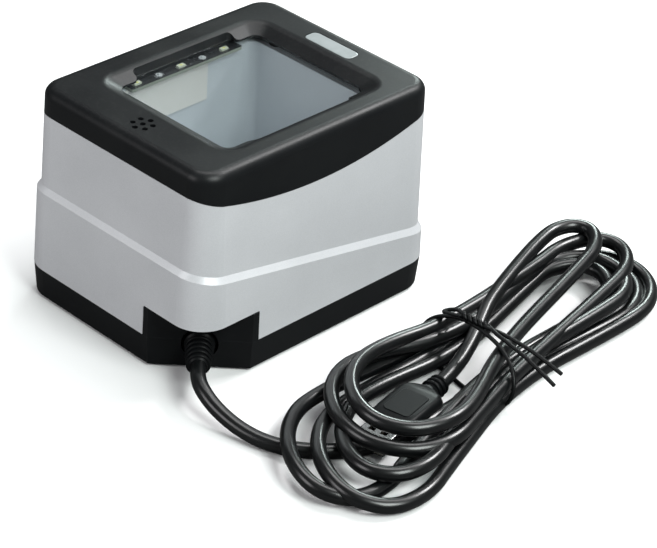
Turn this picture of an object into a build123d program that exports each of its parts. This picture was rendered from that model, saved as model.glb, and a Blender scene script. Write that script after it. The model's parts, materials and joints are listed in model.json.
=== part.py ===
"""Desktop presentation barcode scanner with its cable tied in a hank.

The scanner stands on the plane z = 0. +Y runs along its length, towards the indicator bar, and
the cable leaves the cut corner at +X, -Y. Units are millimetres.
"""

import os
from math import atan2, cos, degrees, pi, radians, sin, tan

from build123d import *

os.makedirs("parts", exist_ok=True)

# ---------------------------------------------------------------- driving dimensions
HALF_X = 45.0  # half width of the body at the shell's lower edge
HALF_Y = 56.4  # half length of the body at the shell's lower edge
TOP = 79.7  # flat top face above the table
STAND = 0.8  # the feet lift the base cover this much
SPLIT_BASE = 12.1  # base cover meets the silver shell
NOTCH_TOP = 23.2  # lower edge of the silver shell over the cable outlet
NOTCH_X, NOTCH_Y = 18.0, -29.0  # where the notch ends on the front and on the side wall
DRAFT = 1.75  # degrees, all walls above the base cover
CORNER_R = 12.0  # vertical corners at the shell's lower edge
WALL = 2.2
SEAM = 0.15  # visible gap between neighbouring shells

STEP_IN = 1.4  # the body above the sloping step is this much smaller
STEP_FRONT = 41.9  # lower edge of the step at the front wall, above the table
STEP_SLOPE = 0.181  # fall of the step per unit of length towards the back
STEP_RISE = 2.3  # height of the step's bevel

SPLIT_LOW = 61.8  # lowest point of the curved joint between bezel and shell
SPLIT_END = 70.3  # the joint is level at this height on the end walls
SPLIT_REACH = 53.0  # where the curve meets the level stretch

FACE_X, FACE_Y = 1.0, 1.5  # centre of the reading window
OPEN_X, OPEN_Y = 26.5, 32.0  # half size of the window opening
WIDE_X, WIDE_Y = 30.45, 22.6  # half size of the wider middle, which clears the LED boards
DISH_DEPTH = 2.8
DISH_RUN = 5.0  # width of the dished surround
LIP = 0.8  # thickness of the lip over the glass
TOP_FILLET = 3.7
BAR_Y, BAR_W, BAR_D = 43.7, 22.0, 6.5  # indicator bar
GRILLE = (1.5, -43.5)  # middle of the sounder's grille
GRILLE_PITCH, GRILLE_HOLE_R = 3.4, 1.0

BASE_IN = 0.9  # the base cover is this much smaller at its underside
BASE_WALL = 2.4
FLOOR = 2.2
CUT_LEG = 24.6  # leg of the cut corner on the base cover's upper edge
OUTLET_Z = 10.3  # height of the cable outlet's axis
OUTLET_R = 6.25

CABLE_D = 5.2
RELIEF_R, RELIEF_TIP_R, RELIEF_REACH = 5.3, 4.2, 13.0
RIBS, RIB_PITCH = 5, 2.1
COLLAR_R, COLLAR = 7.0, 2.0  # collar of the relief, behind the wall
CONNECTOR_L = 9.0
PLUG_TURN = 11.0  # degrees, the plug's nose points this much off -Y, towards +X
PLUG_START = (94.0, 7.7, 4.2)  # where the cable enters the plug
NECK, GRIP, SHELL = 9.0, 23.0, 12.0  # lengths along the plug
NECK_R, GRIP_W, GRIP_H = 3.5, 16.6, 8.4
SHELL_W, SHELL_H, SHELL_WALL = 12.0, 4.5, 0.3
HANK_H = 19.0
TIE = 1.0  # thickness of the wire tie
TIE_W = 1.8

# ---------------------------------------------------------------- worked out from them
BODY_H = TOP - SPLIT_BASE
BASE_H = SPLIT_BASE - STAND
BASE_TAPER = degrees(atan2(BASE_IN, BASE_H))
BASE_FLOOR = STAND + FLOOR
INNER_IN = BASE_IN + BASE_WALL
CONNECTOR_NEAR = INNER_IN + 12  # from the cut face to the connector
CEILING = TOP - DISH_DEPTH - LIP  # underside of the bezel's top wall
BEZEL_WALL = WALL + 0.2
TONGUE = 1.4
FRAME_PLATE = 2.0
FRAME_TOP = SPLIT_BASE + FRAME_PLATE
WALL_TOP = NOTCH_TOP - SEAM
PCB = 1.6
BOARD_X, BOARD_Y, BOARD_CUT = 65.0, 80.0, 20.0  # main board, and its cut corner behind the outlet
BOARD_Z = FRAME_TOP + 3.0  # underside of the main board
BOARD_TOP = BOARD_Z + PCB
GASKET = 0.4
GLASS = 2.0
GLASS_X, GLASS_Y = 31.0, 34.5
GLASS_TOP = CEILING - GASKET
LED_PCB = 1.2
LED_BOARD_TOP = 72.8
FLANGE_TOP = LED_BOARD_TOP - LED_PCB
FLANGE = 1.6
FLANGE_X, FLANGE_Y = 72.0, 82.0
CHAMBER_X, CHAMBER_Y = 29.0, 33.5  # half size inside the light chamber
CHAMBER_FLOOR = 24.0
CHAMBER_WALL = 1.6
SCREW_R = 1.5
SMALL_SCREW_R = 1.0
SOCKET_SHARE = 0.45  # a screw's socket against its head
CLEARANCE = 0.2
BASE_SEAT = 6.0  # the base screws' heads bear here
HEAD_POCKET_R = 3.1
FOOT_PAD_R = 4.5
LABEL_X, LABEL_Y, LABEL_RECESS = 42.0, 26.0, 0.3
BOSS_R, BOSS_H = 4.5, 14.0  # bosses in the silver shell for the base screws
OUTLET_REACH = 6.0  # the outlet's bore is cut this far each way from the cut face
TAB_Z, TAB = 57.4, 2.2  # tabs in the silver shell that carry the bezel's screws
TAB_IN = 0.2  # the tabs' plan runs this far into the drafted walls
PILOT = 9.0  # depth of the pilot holes
BAR_POCKET = 1.8
SOUNDER_POCKET = 2.0
SOUNDER_R, SOUNDER_H, CLOTH = 6.2, 5.5, 0.2
RIBBON_X, RIBBON_W = 30.9, 8.0
REFLECTOR_LOW = 56.0  # lower edge of the white panels in the chamber
LENS_R = 4.6
BARREL_LOW, BARREL_TOP = 21.2, 29.0
BASE_SCREWS = [(-38.5, 36.0), (38.5, 36.0), (-38.5, -36.0), (38.5, -22.0)]
CASE_SCREWS = [(-32.0, 47.0), (32.0, 47.0), (-32.0, -47.0), (32.0, -47.0)]
LED_BOARD_IN, LED_BOARD_OUT = 26.4, 35.0  # the lamp boards' edges from the window's centre line
LED_BOARD_Y = 50.8
LED_X, LED_Y, LED_PITCH = 28.6, -1.5, 20.0
LED_W, LED_L, LED_H = 1.6, 3.0, 0.7
DOME_R = 0.75
REFLECTOR, REFLECTOR_Y, REFLECTOR_SHIFT = 0.6, 41.0, 9.4  # white panels: thickness, length, offset
BOARD_SCREWS = [(-26.0, -36.0), (-26.0, 36.0), (26.0, 36.0), (28.0, -13.0)]
CHAMBER_SCREWS = [(FACE_X + sx * 22.0, FACE_Y + sy * 38.0) for sx in (-1, 1) for sy in (-1, 1)]
LED_SCREWS = [(FACE_X + sx * 33.4, FACE_Y + y) for sx in (-1, 1) for y in (-15.0, 15.0)]
FEET = [(-35.0, 47.0), (35.0, 47.0), (-35.0, -47.0), (20.0, -44.0)]

CUT_SUM = HALF_X + HALF_Y - CUT_LEG  # x - y on the cut face at the base cover's upper edge
OUTLET = (HALF_X - CUT_LEG / 2, CUT_LEG / 2 - HALF_Y, OUTLET_Z)
OUTLET_PLANE = Plane(origin=OUTLET, x_dir=(1, 1, 0), z_dir=(1, -1, 0))
FACE_PLANE = Plane.XY.offset(TOP).move(Location((FACE_X, FACE_Y, 0)))
DOWN = (Align.CENTER, Align.CENTER, Align.MAX)
UP = (Align.CENTER, Align.CENTER, Align.MIN)


def body_plan(inset, mode=Mode.ADD):
    """Rounded plan of the body at the level of the shell's lower edge."""
    RectangleRounded(2 * (HALF_X - inset), 2 * (HALF_Y - inset), CORNER_R - inset, mode=mode)


def cut_plan(reach, mode=Mode.SUBTRACT):
    """Take the cut corner off a plan; `reach` moves its face inwards, square to the face.

    With Mode.INTERSECT only the corner beyond that face is kept.
    """
    far = 80.0
    level = CUT_SUM - reach * 2**0.5
    Polygon((level - far, -far), (far, far - level), (far, -far), align=None, mode=mode)


def step_plane(rise):
    """Sloping plane `rise` above the lower edge of the step."""
    return Plane(origin=(0, -HALF_Y, STEP_FRONT + rise), z_dir=(0, STEP_SLOPE, 1))


def at(points, height):
    """Places on one level for a list of plan points."""
    return [(x, y, height) for x, y in points]


def save(part, name):
    """Label a finished piece and write its STEP file."""
    part.label = name
    export_step(part, f"parts/{name}.step")


# ---------------------------------------------------------------- base cover
with BuildPart() as base_cover:
    with BuildSketch(Plane.XY.offset(STAND)):
        body_plan(BASE_IN)
        cut_plan(BASE_IN)
    extrude(amount=BASE_H, taper=-BASE_TAPER)
    fillet(faces().sort_by(Axis.Z)[0].edges(), 0.6)
    with BuildSketch(Plane.XY.offset(BASE_FLOOR)):
        body_plan(INNER_IN)
        cut_plan(INNER_IN)
    extrude(amount=BASE_H, mode=Mode.SUBTRACT)
    with BuildSketch(Plane.XY.offset(BASE_FLOOR)):
        with Locations(*BASE_SCREWS):
            Circle(HEAD_POCKET_R + 1.1)
    extrude(amount=SPLIT_BASE - BASE_FLOOR)
    with Locations(*at(BASE_SCREWS, STAND)):
        Cylinder(SCREW_R + CLEARANCE, 2 * BASE_H, mode=Mode.SUBTRACT)
        Cylinder(HEAD_POCKET_R, BASE_SEAT - STAND, align=UP, mode=Mode.SUBTRACT)
    with Locations(*at(FEET, STAND)):
        Cylinder(FOOT_PAD_R + 0.1, STAND, align=UP, mode=Mode.SUBTRACT)
    with Locations((0, 0, STAND)):
        Box(LABEL_X + 2, LABEL_Y + 2, LABEL_RECESS, align=UP, mode=Mode.SUBTRACT)
    with BuildSketch(OUTLET_PLANE):
        Circle(OUTLET_R)
    extrude(amount=OUTLET_REACH, both=True, mode=Mode.SUBTRACT)
save(base_cover.part, "base_cover")

# ---------------------------------------------------------------- inner frame
with BuildPart() as inner_frame:
    with BuildSketch(Plane.XY.offset(SPLIT_BASE)):
        body_plan(WALL + 0.4)
        cut_plan(0)
    extrude(amount=FRAME_PLATE)
    # wall of the notched corner: the base cover's outline, kept to the notch
    with BuildSketch(Plane.XY.offset(SPLIT_BASE)):
        notch_w, notch_d = HALF_X - NOTCH_X - CLEARANCE, HALF_Y + NOTCH_Y - CLEARANCE
        with Locations((HALF_X - notch_w / 2, notch_d / 2 - HALF_Y)):
            Rectangle(notch_w, notch_d)
        body_plan(0, mode=Mode.INTERSECT)
        cut_plan(0)
    extrude(amount=WALL_TOP - SPLIT_BASE)
    with BuildSketch(Plane.XY.offset(FRAME_TOP)):
        body_plan(INNER_IN)
        cut_plan(INNER_IN)
    extrude(amount=WALL_TOP, mode=Mode.SUBTRACT)
    # roof of that corner, inside the silver shell
    with BuildSketch(Plane.XY.offset(WALL_TOP)):
        body_plan(WALL + 0.6)
        cut_plan(INNER_IN, mode=Mode.INTERSECT)
    extrude(amount=FRAME_PLATE)
    with BuildSketch(Plane.XY.offset(FRAME_TOP)):
        with Locations(*BOARD_SCREWS):
            Circle(3.0)
    extrude(amount=BOARD_Z - FRAME_TOP)
    with Locations(*at(BOARD_SCREWS, BOARD_Z)):
        Cylinder(SMALL_SCREW_R, 2 * PILOT, mode=Mode.SUBTRACT)
    with Locations(*at(BASE_SCREWS, FRAME_TOP)):
        Cylinder(SCREW_R + CLEARANCE, 2 * FRAME_PLATE + 1, mode=Mode.SUBTRACT)
    with BuildSketch(OUTLET_PLANE):
        Circle(OUTLET_R)
    extrude(amount=OUTLET_REACH, both=True, mode=Mode.SUBTRACT)
    # window for the sleeve's collar, the connector and the header above it
    with BuildSketch(OUTLET_PLANE.offset(-INNER_IN)):
        Rectangle(16, 16)
    extrude(amount=-26, mode=Mode.SUBTRACT)
save(inner_frame.part, "inner_frame")

# ---------------------------------------------------------------- joint between the shells
with BuildPart() as above_joint:
    with BuildSketch(Plane.YZ):
        wide = HALF_Y + 10
        with BuildLine():
            Line((-wide, SPLIT_END), (-SPLIT_REACH, SPLIT_END))
            ThreePointArc((-SPLIT_REACH, SPLIT_END), (0, SPLIT_LOW), (SPLIT_REACH, SPLIT_END))
            Line((SPLIT_REACH, SPLIT_END), (wide, SPLIT_END))
            Polyline((wide, SPLIT_END), (wide, 2 * TOP), (-wide, 2 * TOP), (-wide, SPLIT_END))
        make_face()
    extrude(amount=HALF_X + 10, both=True)


def joint_space(shift):
    """Everything above the curved joint, moved up by `shift`."""
    return above_joint.part.moved(Location((0, 0, shift)))


# ---------------------------------------------------------------- silver middle shell
with BuildPart() as lower_room:
    with BuildSketch(Plane.XY.offset(SPLIT_BASE)):
        body_plan(WALL)
    extrude(amount=STEP_FRONT, taper=DRAFT)
    split(bisect_by=step_plane(STEP_RISE - WALL), keep=Keep.BOTTOM)

with BuildPart() as middle_shell:
    with BuildSketch(Plane.XY.offset(SPLIT_BASE)):
        body_plan(0)
    extrude(amount=STEP_FRONT, taper=DRAFT)
    split(bisect_by=step_plane(STEP_RISE), keep=Keep.BOTTOM)
    ledge = faces().sort_by(Axis.Z)[-1]
    chamfer(ledge.edges(), length=STEP_IN + 0.1, length2=STEP_RISE, reference=ledge)
    with BuildSketch(Plane.XY.offset(SPLIT_BASE)):
        body_plan(STEP_IN)
    extrude(amount=BODY_H, taper=DRAFT)
    add(joint_space(-SEAM), mode=Mode.SUBTRACT)
    add(lower_room.part, mode=Mode.SUBTRACT)
    with BuildSketch(Plane.XY.offset(SPLIT_BASE)):
        body_plan(STEP_IN + WALL)
    extrude(amount=BODY_H, taper=DRAFT, mode=Mode.SUBTRACT)
    # bosses for the screws from below
    with Locations(*at(BASE_SCREWS, FRAME_TOP)):
        Cylinder(BOSS_R, BOSS_H, align=UP)
        Cylinder(SCREW_R, 2 * PILOT, mode=Mode.SUBTRACT)
    # notch over the cable outlet
    with Locations((NOTCH_X, NOTCH_Y, SPLIT_BASE)):
        Box(
            HALF_X,
            HALF_Y,
            NOTCH_TOP - SPLIT_BASE,
            align=(Align.MIN, Align.MAX, Align.MIN),
            mode=Mode.SUBTRACT,
        )
    # tabs for the screws that hold the bezel, cut to the room between the walls
    with BuildSketch(Plane.XY.offset(TAB_Z)):
        with GridLocations(2 * 34, 2 * 49, 2, 2):
            Rectangle(15, 14)
        body_plan(STEP_IN + WALL + TAB_IN, mode=Mode.INTERSECT)
    extrude(amount=TAB)
    with Locations(*at(CASE_SCREWS, TAB_Z)):
        Cylinder(SCREW_R + CLEARANCE, 4 * TAB, mode=Mode.SUBTRACT)
save(middle_shell.part, "middle_shell")

# ---------------------------------------------------------------- top bezel
with BuildPart() as tongue:
    for inset, mode in ((STEP_IN + BEZEL_WALL, Mode.ADD), (STEP_IN + BEZEL_WALL + TONGUE, Mode.SUBTRACT)):
        with BuildSketch(Plane.XY.offset(SPLIT_BASE)):
            body_plan(inset)
        extrude(amount=BODY_H - 8, taper=DRAFT, mode=mode)
    add(joint_space(-2.5), mode=Mode.INTERSECT)
    add(joint_space(1.5), mode=Mode.SUBTRACT)

with BuildPart() as top_bezel:
    with BuildSketch(Plane.XY.offset(SPLIT_BASE)):
        body_plan(STEP_IN)
    extrude(amount=BODY_H, taper=DRAFT)
    fillet(faces().sort_by(Axis.Z)[-1].edges(), TOP_FILLET)
    # dished surround of the window, with a soft rim
    with BuildSketch(FACE_PLANE):
        RectangleRounded(2 * (OPEN_X + DISH_RUN), 2 * (OPEN_Y + DISH_RUN), 7)
    with BuildSketch(FACE_PLANE.offset(-DISH_DEPTH)):
        RectangleRounded(2 * OPEN_X, 2 * OPEN_Y, 3.5)
    loft(mode=Mode.SUBTRACT)
    fillet(faces().filter_by(Axis.Z).sort_by(Axis.Z)[-1].inner_wires()[0].edges(), 5.0)
    # hollow inside, and everything below the joint
    with BuildSketch(Plane.XY.offset(SPLIT_BASE)):
        body_plan(STEP_IN + BEZEL_WALL)
    extrude(amount=CEILING - SPLIT_BASE, taper=DRAFT, mode=Mode.SUBTRACT)
    add(joint_space(0), mode=Mode.INTERSECT)
    add(tongue.part)
    # window opening with its wider middle
    with BuildSketch(FACE_PLANE.offset(-2 * DISH_DEPTH)):
        RectangleRounded(2 * OPEN_X, 2 * OPEN_Y, 3.5)
        Rectangle(2 * WIDE_X, 2 * WIDE_Y)
        fillet([v for v in vertices() if abs(abs(v.Y) - WIDE_Y) < CLEARANCE], 1.8)
    extrude(amount=4 * DISH_DEPTH, mode=Mode.SUBTRACT)
    # indicator bar and the pocket under it
    with BuildSketch(Plane.XY.offset(TOP)):
        with Locations((FACE_X, BAR_Y)):
            RectangleRounded(BAR_W, BAR_D, 2.2)
    extrude(amount=-2 * DISH_DEPTH, mode=Mode.SUBTRACT)
    with Locations((FACE_X, BAR_Y, CEILING)):
        Box(BAR_W + 4, BAR_D + 4, BAR_POCKET, align=UP, mode=Mode.SUBTRACT)
    # sounder grille and the pocket under it
    with Locations((*GRILLE, CEILING)):
        Cylinder(SOUNDER_R + 0.8, SOUNDER_POCKET, align=UP, mode=Mode.SUBTRACT)
    with Locations((*GRILLE, TOP)):
        Cylinder(GRILLE_HOLE_R, 4 * DISH_DEPTH, mode=Mode.SUBTRACT)
        with PolarLocations(GRILLE_PITCH, 6, start_angle=30):
            Cylinder(GRILLE_HOLE_R, 4 * DISH_DEPTH, mode=Mode.SUBTRACT)
    # bosses: case screws at the corners, chamber screws beside the glass
    with Locations(*at(CASE_SCREWS, CEILING)):
        Cylinder(3.5, CEILING - TAB_Z - TAB, align=DOWN)
    with Locations(*at(CHAMBER_SCREWS, CEILING)):
        Cylinder(3.0, CEILING - FLANGE_TOP, align=DOWN)
    with Locations(*at(CASE_SCREWS, TAB_Z + TAB)):
        Cylinder(SCREW_R, PILOT, align=UP, mode=Mode.SUBTRACT)
    with Locations(*at(CHAMBER_SCREWS, FLANGE_TOP)):
        Cylinder(SMALL_SCREW_R, PILOT / 2, align=UP, mode=Mode.SUBTRACT)
save(top_bezel.part, "top_bezel")

# ---------------------------------------------------------------- window, indicator, sounder
with BuildPart() as window_gasket:
    with BuildSketch(Plane.XY.offset(GLASS_TOP).move(Location((FACE_X, FACE_Y, 0)))):
        Rectangle(2 * GLASS_X, 2 * GLASS_Y)
        Rectangle(2 * WIDE_X, 2 * OPEN_Y + 0.6, mode=Mode.SUBTRACT)
    extrude(amount=GASKET)
save(window_gasket.part, "window_gasket")

with BuildPart() as window_glass:
    with BuildSketch(Plane.XY.offset(GLASS_TOP).move(Location((FACE_X, FACE_Y, 0)))):
        RectangleRounded(2 * GLASS_X, 2 * GLASS_Y, 1.0)
    extrude(amount=-GLASS)
    chamfer(faces().sort_by(Axis.Z)[-1].edges(), 0.2)
save(window_glass.part, "window_glass")

with BuildPart() as light_bar_lens:
    with BuildSketch(Plane.XY.offset(CEILING + BAR_POCKET)):
        with Locations((FACE_X, BAR_Y)):
            RectangleRounded(BAR_W - 0.2, BAR_D - 0.2, 2.1)
    extrude(amount=TOP - CEILING - BAR_POCKET)
    fillet(faces().sort_by(Axis.Z)[-1].edges(), 0.4)
    with Locations((FACE_X, BAR_Y, CEILING + BAR_POCKET)):
        Box(BAR_W + 3, BAR_D + 3, 1.0, align=DOWN)
save(light_bar_lens.part, "light_bar_lens")

with BuildPart() as status_board:
    with Locations((FACE_X, BAR_Y, CEILING)):
        Box(BAR_W + 8, BAR_D + 4, 1.0, align=DOWN)
save(status_board.part, "status_board")

with BuildPart() as status_leds:
    with Locations((FACE_X, BAR_Y, CEILING)):
        with GridLocations(7, 1, 3, 1):
            Box(3.0, 1.6, 0.7, align=UP)
save(status_leds.part, "status_leds")

with BuildPart() as grille_cloth:
    with Locations((*GRILLE, CEILING + SOUNDER_POCKET)):
        Cylinder(SOUNDER_R + 0.3, CLOTH, align=DOWN)
save(grille_cloth.part, "grille_cloth")

with BuildPart() as buzzer:
    with Locations((*GRILLE, CEILING + SOUNDER_POCKET - CLOTH)):
        Cylinder(SOUNDER_R, SOUNDER_H, align=DOWN)
    fillet(edges().filter_by(GeomType.CIRCLE), 0.4)
save(buzzer.part, "buzzer")

# ---------------------------------------------------------------- light chamber
with BuildPart() as light_chamber:
    chamber_plane = Plane.XY.offset(CHAMBER_FLOOR).move(Location((FACE_X, FACE_Y, 0)))
    with BuildSketch(chamber_plane):
        RectangleRounded(2 * (CHAMBER_X + CHAMBER_WALL), 2 * (CHAMBER_Y + CHAMBER_WALL), 5)
    extrude(amount=FLANGE_TOP - CHAMBER_FLOOR)
    with BuildSketch(chamber_plane.offset(FLANGE_TOP - FLANGE - CHAMBER_FLOOR)):
        RectangleRounded(FLANGE_X, FLANGE_Y, 4)
    extrude(amount=FLANGE)
    with BuildSketch(chamber_plane.offset(CHAMBER_WALL)):
        RectangleRounded(2 * CHAMBER_X, 2 * CHAMBER_Y, 3.4)
    extrude(amount=FLANGE_TOP, mode=Mode.SUBTRACT)
    with Locations((FACE_X, FACE_Y, CHAMBER_FLOOR)):
        Cylinder(6.5, 4 * CHAMBER_WALL, mode=Mode.SUBTRACT)
    with Locations(*at(CHAMBER_SCREWS, FLANGE_TOP)):
        Cylinder(SMALL_SCREW_R + CLEARANCE, 4 * FLANGE, mode=Mode.SUBTRACT)
    with Locations(*at(LED_SCREWS, FLANGE_TOP)):
        Cylinder(0.8, 4 * FLANGE, mode=Mode.SUBTRACT)
    # slots that let the ribbons up to the LED boards
    with Locations((FACE_X, FACE_Y, FLANGE_TOP)):
        with GridLocations(2 * RIBBON_X, 1, 2, 1):
            Box(1.0, RIBBON_W + 1, 2 * FLANGE, mode=Mode.SUBTRACT)
save(light_chamber.part, "light_chamber")

for side, name in ((-1, "left"), (1, "right")):
    board_mid = FACE_X + side * (LED_BOARD_IN + LED_BOARD_OUT) / 2
    led_x = FACE_X + side * LED_X
    with BuildPart() as led_board:
        with BuildSketch(Plane.XY.offset(LED_BOARD_TOP)):
            with Locations((board_mid, FACE_Y)):
                RectangleRounded(LED_BOARD_OUT - LED_BOARD_IN, LED_BOARD_Y, 0.6)
        extrude(amount=-LED_PCB)
        with Locations(*[(x, y, LED_BOARD_TOP) for x, y in LED_SCREWS if x * side > 0]):
            Cylinder(0.8, 4 * LED_PCB, mode=Mode.SUBTRACT)
    save(led_board.part, f"led_board_{name}")

    with BuildPart() as illumination_leds:
        with Locations((led_x, FACE_Y + LED_Y, LED_BOARD_TOP)):
            with GridLocations(1, LED_PITCH, 1, 3):
                Box(LED_W, LED_L, LED_H, align=UP)
    save(illumination_leds.part, f"illumination_leds_{name}")

    with BuildPart() as aiming_leds:
        with Locations((led_x, FACE_Y + LED_Y, LED_BOARD_TOP)):
            with GridLocations(1, LED_PITCH, 1, 2):
                Cylinder(DOME_R + 0.5, 0.3, align=UP)
                Sphere(DOME_R, arc_size1=0, align=UP)
    save(aiming_leds.part, f"aiming_leds_{name}")

    # white panel on the chamber wall; it reaches further to one end than to the other
    with BuildPart() as side_reflector:
        panel_x = FACE_X + side * (CHAMBER_X - REFLECTOR / 2)
        with Locations((panel_x, FACE_Y + side * REFLECTOR_SHIFT, REFLECTOR_LOW)):
            Box(REFLECTOR, REFLECTOR_Y, FLANGE_TOP - REFLECTOR_LOW, align=UP)
    save(side_reflector.part, f"side_reflector_{name}")

    with BuildPart() as led_ribbon:
        with Locations((FACE_X + side * RIBBON_X, FACE_Y, BOARD_TOP + 2.5)):
            Box(0.4, RIBBON_W, FLANGE_TOP - BOARD_TOP - 2.5, align=UP)
    save(led_ribbon.part, f"led_ribbon_{name}")

# ---------------------------------------------------------------- camera and main board
with BuildPart() as main_board:
    with BuildSketch(Plane.XY.offset(BOARD_Z)):
        with Locations((FACE_X, 0)):
            Rectangle(BOARD_X, BOARD_Y)
        cut_plan(BOARD_CUT)
    extrude(amount=PCB)
    with Locations(*at(BOARD_SCREWS, BOARD_Z)):
        Cylinder(SMALL_SCREW_R + CLEARANCE, 4 * PCB, mode=Mode.SUBTRACT)
save(main_board.part, "main_board")

with BuildPart() as image_sensor:
    with Locations((FACE_X, FACE_Y, BOARD_TOP)):
        Box(7, 7, 1.1, align=UP)
save(image_sensor.part, "image_sensor")

with BuildPart() as lens_holder:
    with Locations((FACE_X, FACE_Y, BOARD_TOP)):
        Box(14, 14, 3.6, align=UP)
        Cylinder(6.0, 5.0, align=UP)
        Box(9, 9, 2.4, align=UP, mode=Mode.SUBTRACT)
        Cylinder(LENS_R, 20, mode=Mode.SUBTRACT)
    chamfer(edges().filter_by(Axis.Z).filter_by_position(Axis.X, FACE_X + 6.9, FACE_X + 7.1), 0.8)
save(lens_holder.part, "lens_holder")

with BuildPart() as lens_barrel:
    with Locations((FACE_X, FACE_Y, BARREL_LOW)):
        Cylinder(LENS_R, BARREL_TOP - BARREL_LOW, align=UP)
    with Locations((FACE_X, FACE_Y, BARREL_TOP)):
        Cone(2.2, LENS_R - 0.8, 2.0, align=DOWN, mode=Mode.SUBTRACT)
        Cylinder(2.2, 2 * BARREL_TOP, mode=Mode.SUBTRACT)
save(lens_barrel.part, "lens_barrel")

with BuildPart() as front_lens:
    with Locations((FACE_X, FACE_Y, BARREL_TOP - 3.2)):
        Cylinder(2.2, 1.2, align=UP)
save(front_lens.part, "front_lens")

with BuildPart() as decoder_chip:
    with Locations((-16, 20, BOARD_TOP)):
        Box(13, 13, 1.3, align=UP)
    chamfer(faces().sort_by(Axis.Z)[-1].edges(), 0.15)
save(decoder_chip.part, "decoder_chip")

with BuildPart() as memory_chip:
    with Locations((-16, 2, BOARD_TOP)):
        Box(8, 11, 1.1, align=UP)
save(memory_chip.part, "memory_chip")

with BuildPart() as crystal:
    with Locations((-16, 32, BOARD_TOP)):
        Box(5, 3.2, 1.0, align=UP)
save(crystal.part, "crystal")

with BuildPart() as capacitors:
    with Locations((18, 18, BOARD_TOP)):
        with GridLocations(7, 8, 2, 3):
            Cylinder(2.2, 3.8, align=UP)
save(capacitors.part, "capacitors")

with BuildPart() as ribbon_headers:
    with Locations((FACE_X, FACE_Y, BOARD_TOP)):
        with GridLocations(2 * RIBBON_X, 1, 2, 1):
            Box(2.6, RIBBON_W + 2, 2.5, align=UP)
save(ribbon_headers.part, "ribbon_headers")

# ---------------------------------------------------------------- cable inside the body
# everything here is drawn on the outlet's plane: local X along the cut face, local Y up
with BuildPart() as strain_relief:
    with BuildSketch(OUTLET_PLANE.offset(-INNER_IN - COLLAR)):
        Circle(COLLAR_R)
    extrude(amount=COLLAR)
    with BuildSketch(OUTLET_PLANE.offset(-INNER_IN)):
        Circle(RELIEF_R)
    extrude(amount=INNER_IN)
    with BuildSketch(OUTLET_PLANE):
        Circle(RELIEF_R)
    with BuildSketch(OUTLET_PLANE.offset(RELIEF_REACH)):
        Circle(RELIEF_TIP_R)
    loft()
    for rib in range(RIBS):
        groove = OUTLET_PLANE.offset(1.5 + rib * RIB_PITCH)
        with BuildSketch(groove):
            Circle(RELIEF_R + 1)
            Circle(RELIEF_TIP_R - 0.8, mode=Mode.SUBTRACT)
        extrude(amount=RIB_PITCH * 0.4, mode=Mode.SUBTRACT)
save(strain_relief.part, "strain_relief")

with BuildPart() as inner_cable:
    with BuildSketch(OUTLET_PLANE.offset(-INNER_IN - COLLAR)):
        Circle(CABLE_D / 2)
    extrude(amount=INNER_IN + COLLAR - CONNECTOR_NEAR)
save(inner_cable.part, "inner_cable")

with BuildPart() as cable_connector:
    with BuildSketch(OUTLET_PLANE.offset(-CONNECTOR_NEAR)):
        Rectangle(11, 6)
    extrude(amount=-CONNECTOR_L)
save(cable_connector.part, "cable_connector")

with BuildPart() as cable_header:
    header_low = OUTLET_Z + 3
    with BuildSketch(OUTLET_PLANE.offset(-CONNECTOR_NEAR)):
        with Locations((0, (header_low + BOARD_Z) / 2 - OUTLET_Z)):
            Rectangle(12, BOARD_Z - header_low)
    extrude(amount=-CONNECTOR_L)
save(cable_header.part, "cable_header")

# ---------------------------------------------------------------- fasteners, feet and label


def screws(places, seat, head_r, head_h, shank_r, length, head_down):
    """Cap screws on one level; the shanks point up when the heads are below the seat."""
    towards = UP if head_down else DOWN
    with Locations(*at(places, seat)):
        Cylinder(head_r, head_h, align=DOWN if head_down else UP)
        Cylinder(shank_r, length, align=towards)
    with Locations(*at(places, seat + (-head_h if head_down else head_h))):
        Cylinder(head_r * SOCKET_SHARE, head_h, mode=Mode.SUBTRACT)


with BuildPart() as base_screws:
    screws(BASE_SCREWS, BASE_SEAT, 2.8, 2.4, SCREW_R, 15.0, head_down=True)
save(base_screws.part, "base_screws")

with BuildPart() as case_screws:
    screws(CASE_SCREWS, TAB_Z, 2.8, 2.0, SCREW_R, 9.0, head_down=True)
save(case_screws.part, "case_screws")

with BuildPart() as chamber_screws:
    under_flange = FLANGE_TOP - FLANGE
    screws(CHAMBER_SCREWS, under_flange, 2.0, 1.6, SMALL_SCREW_R, 5.5, head_down=True)
save(chamber_screws.part, "chamber_screws")

with BuildPart() as led_board_screws:
    screws(LED_SCREWS, LED_BOARD_TOP, 1.4, 0.8, 0.8, 2.6, head_down=False)
save(led_board_screws.part, "led_board_screws")

with BuildPart() as main_board_screws:
    screws(BOARD_SCREWS, BOARD_TOP, 2.0, 1.4, SMALL_SCREW_R, 6.0, head_down=False)
save(main_board_screws.part, "main_board_screws")

with BuildPart() as rubber_feet:
    with Locations(*at(FEET, 0)):
        Cylinder(FOOT_PAD_R, 2 * STAND, align=UP)
    chamfer(faces().filter_by(Axis.Z).group_by(Axis.Z)[0].edges(), 0.3)
save(rubber_feet.part, "rubber_feet")

with BuildPart() as rating_label:
    with Locations((0, 0, STAND + LABEL_RECESS)):
        Box(LABEL_X, LABEL_Y, 0.2, align=DOWN)
save(rating_label.part, "rating_label")

# ---------------------------------------------------------------- the lead on the table
LEAD = [
    (41.9, -53.3, 10.3),
    (46.0, -57.4, 10.3),
    (51.4, -60.2, 9.1),
    (59.4, -61.3, 6.4),
    (69.6, -60.6, 3.9),
    (80.2, -58.0, 2.7),
]


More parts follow.
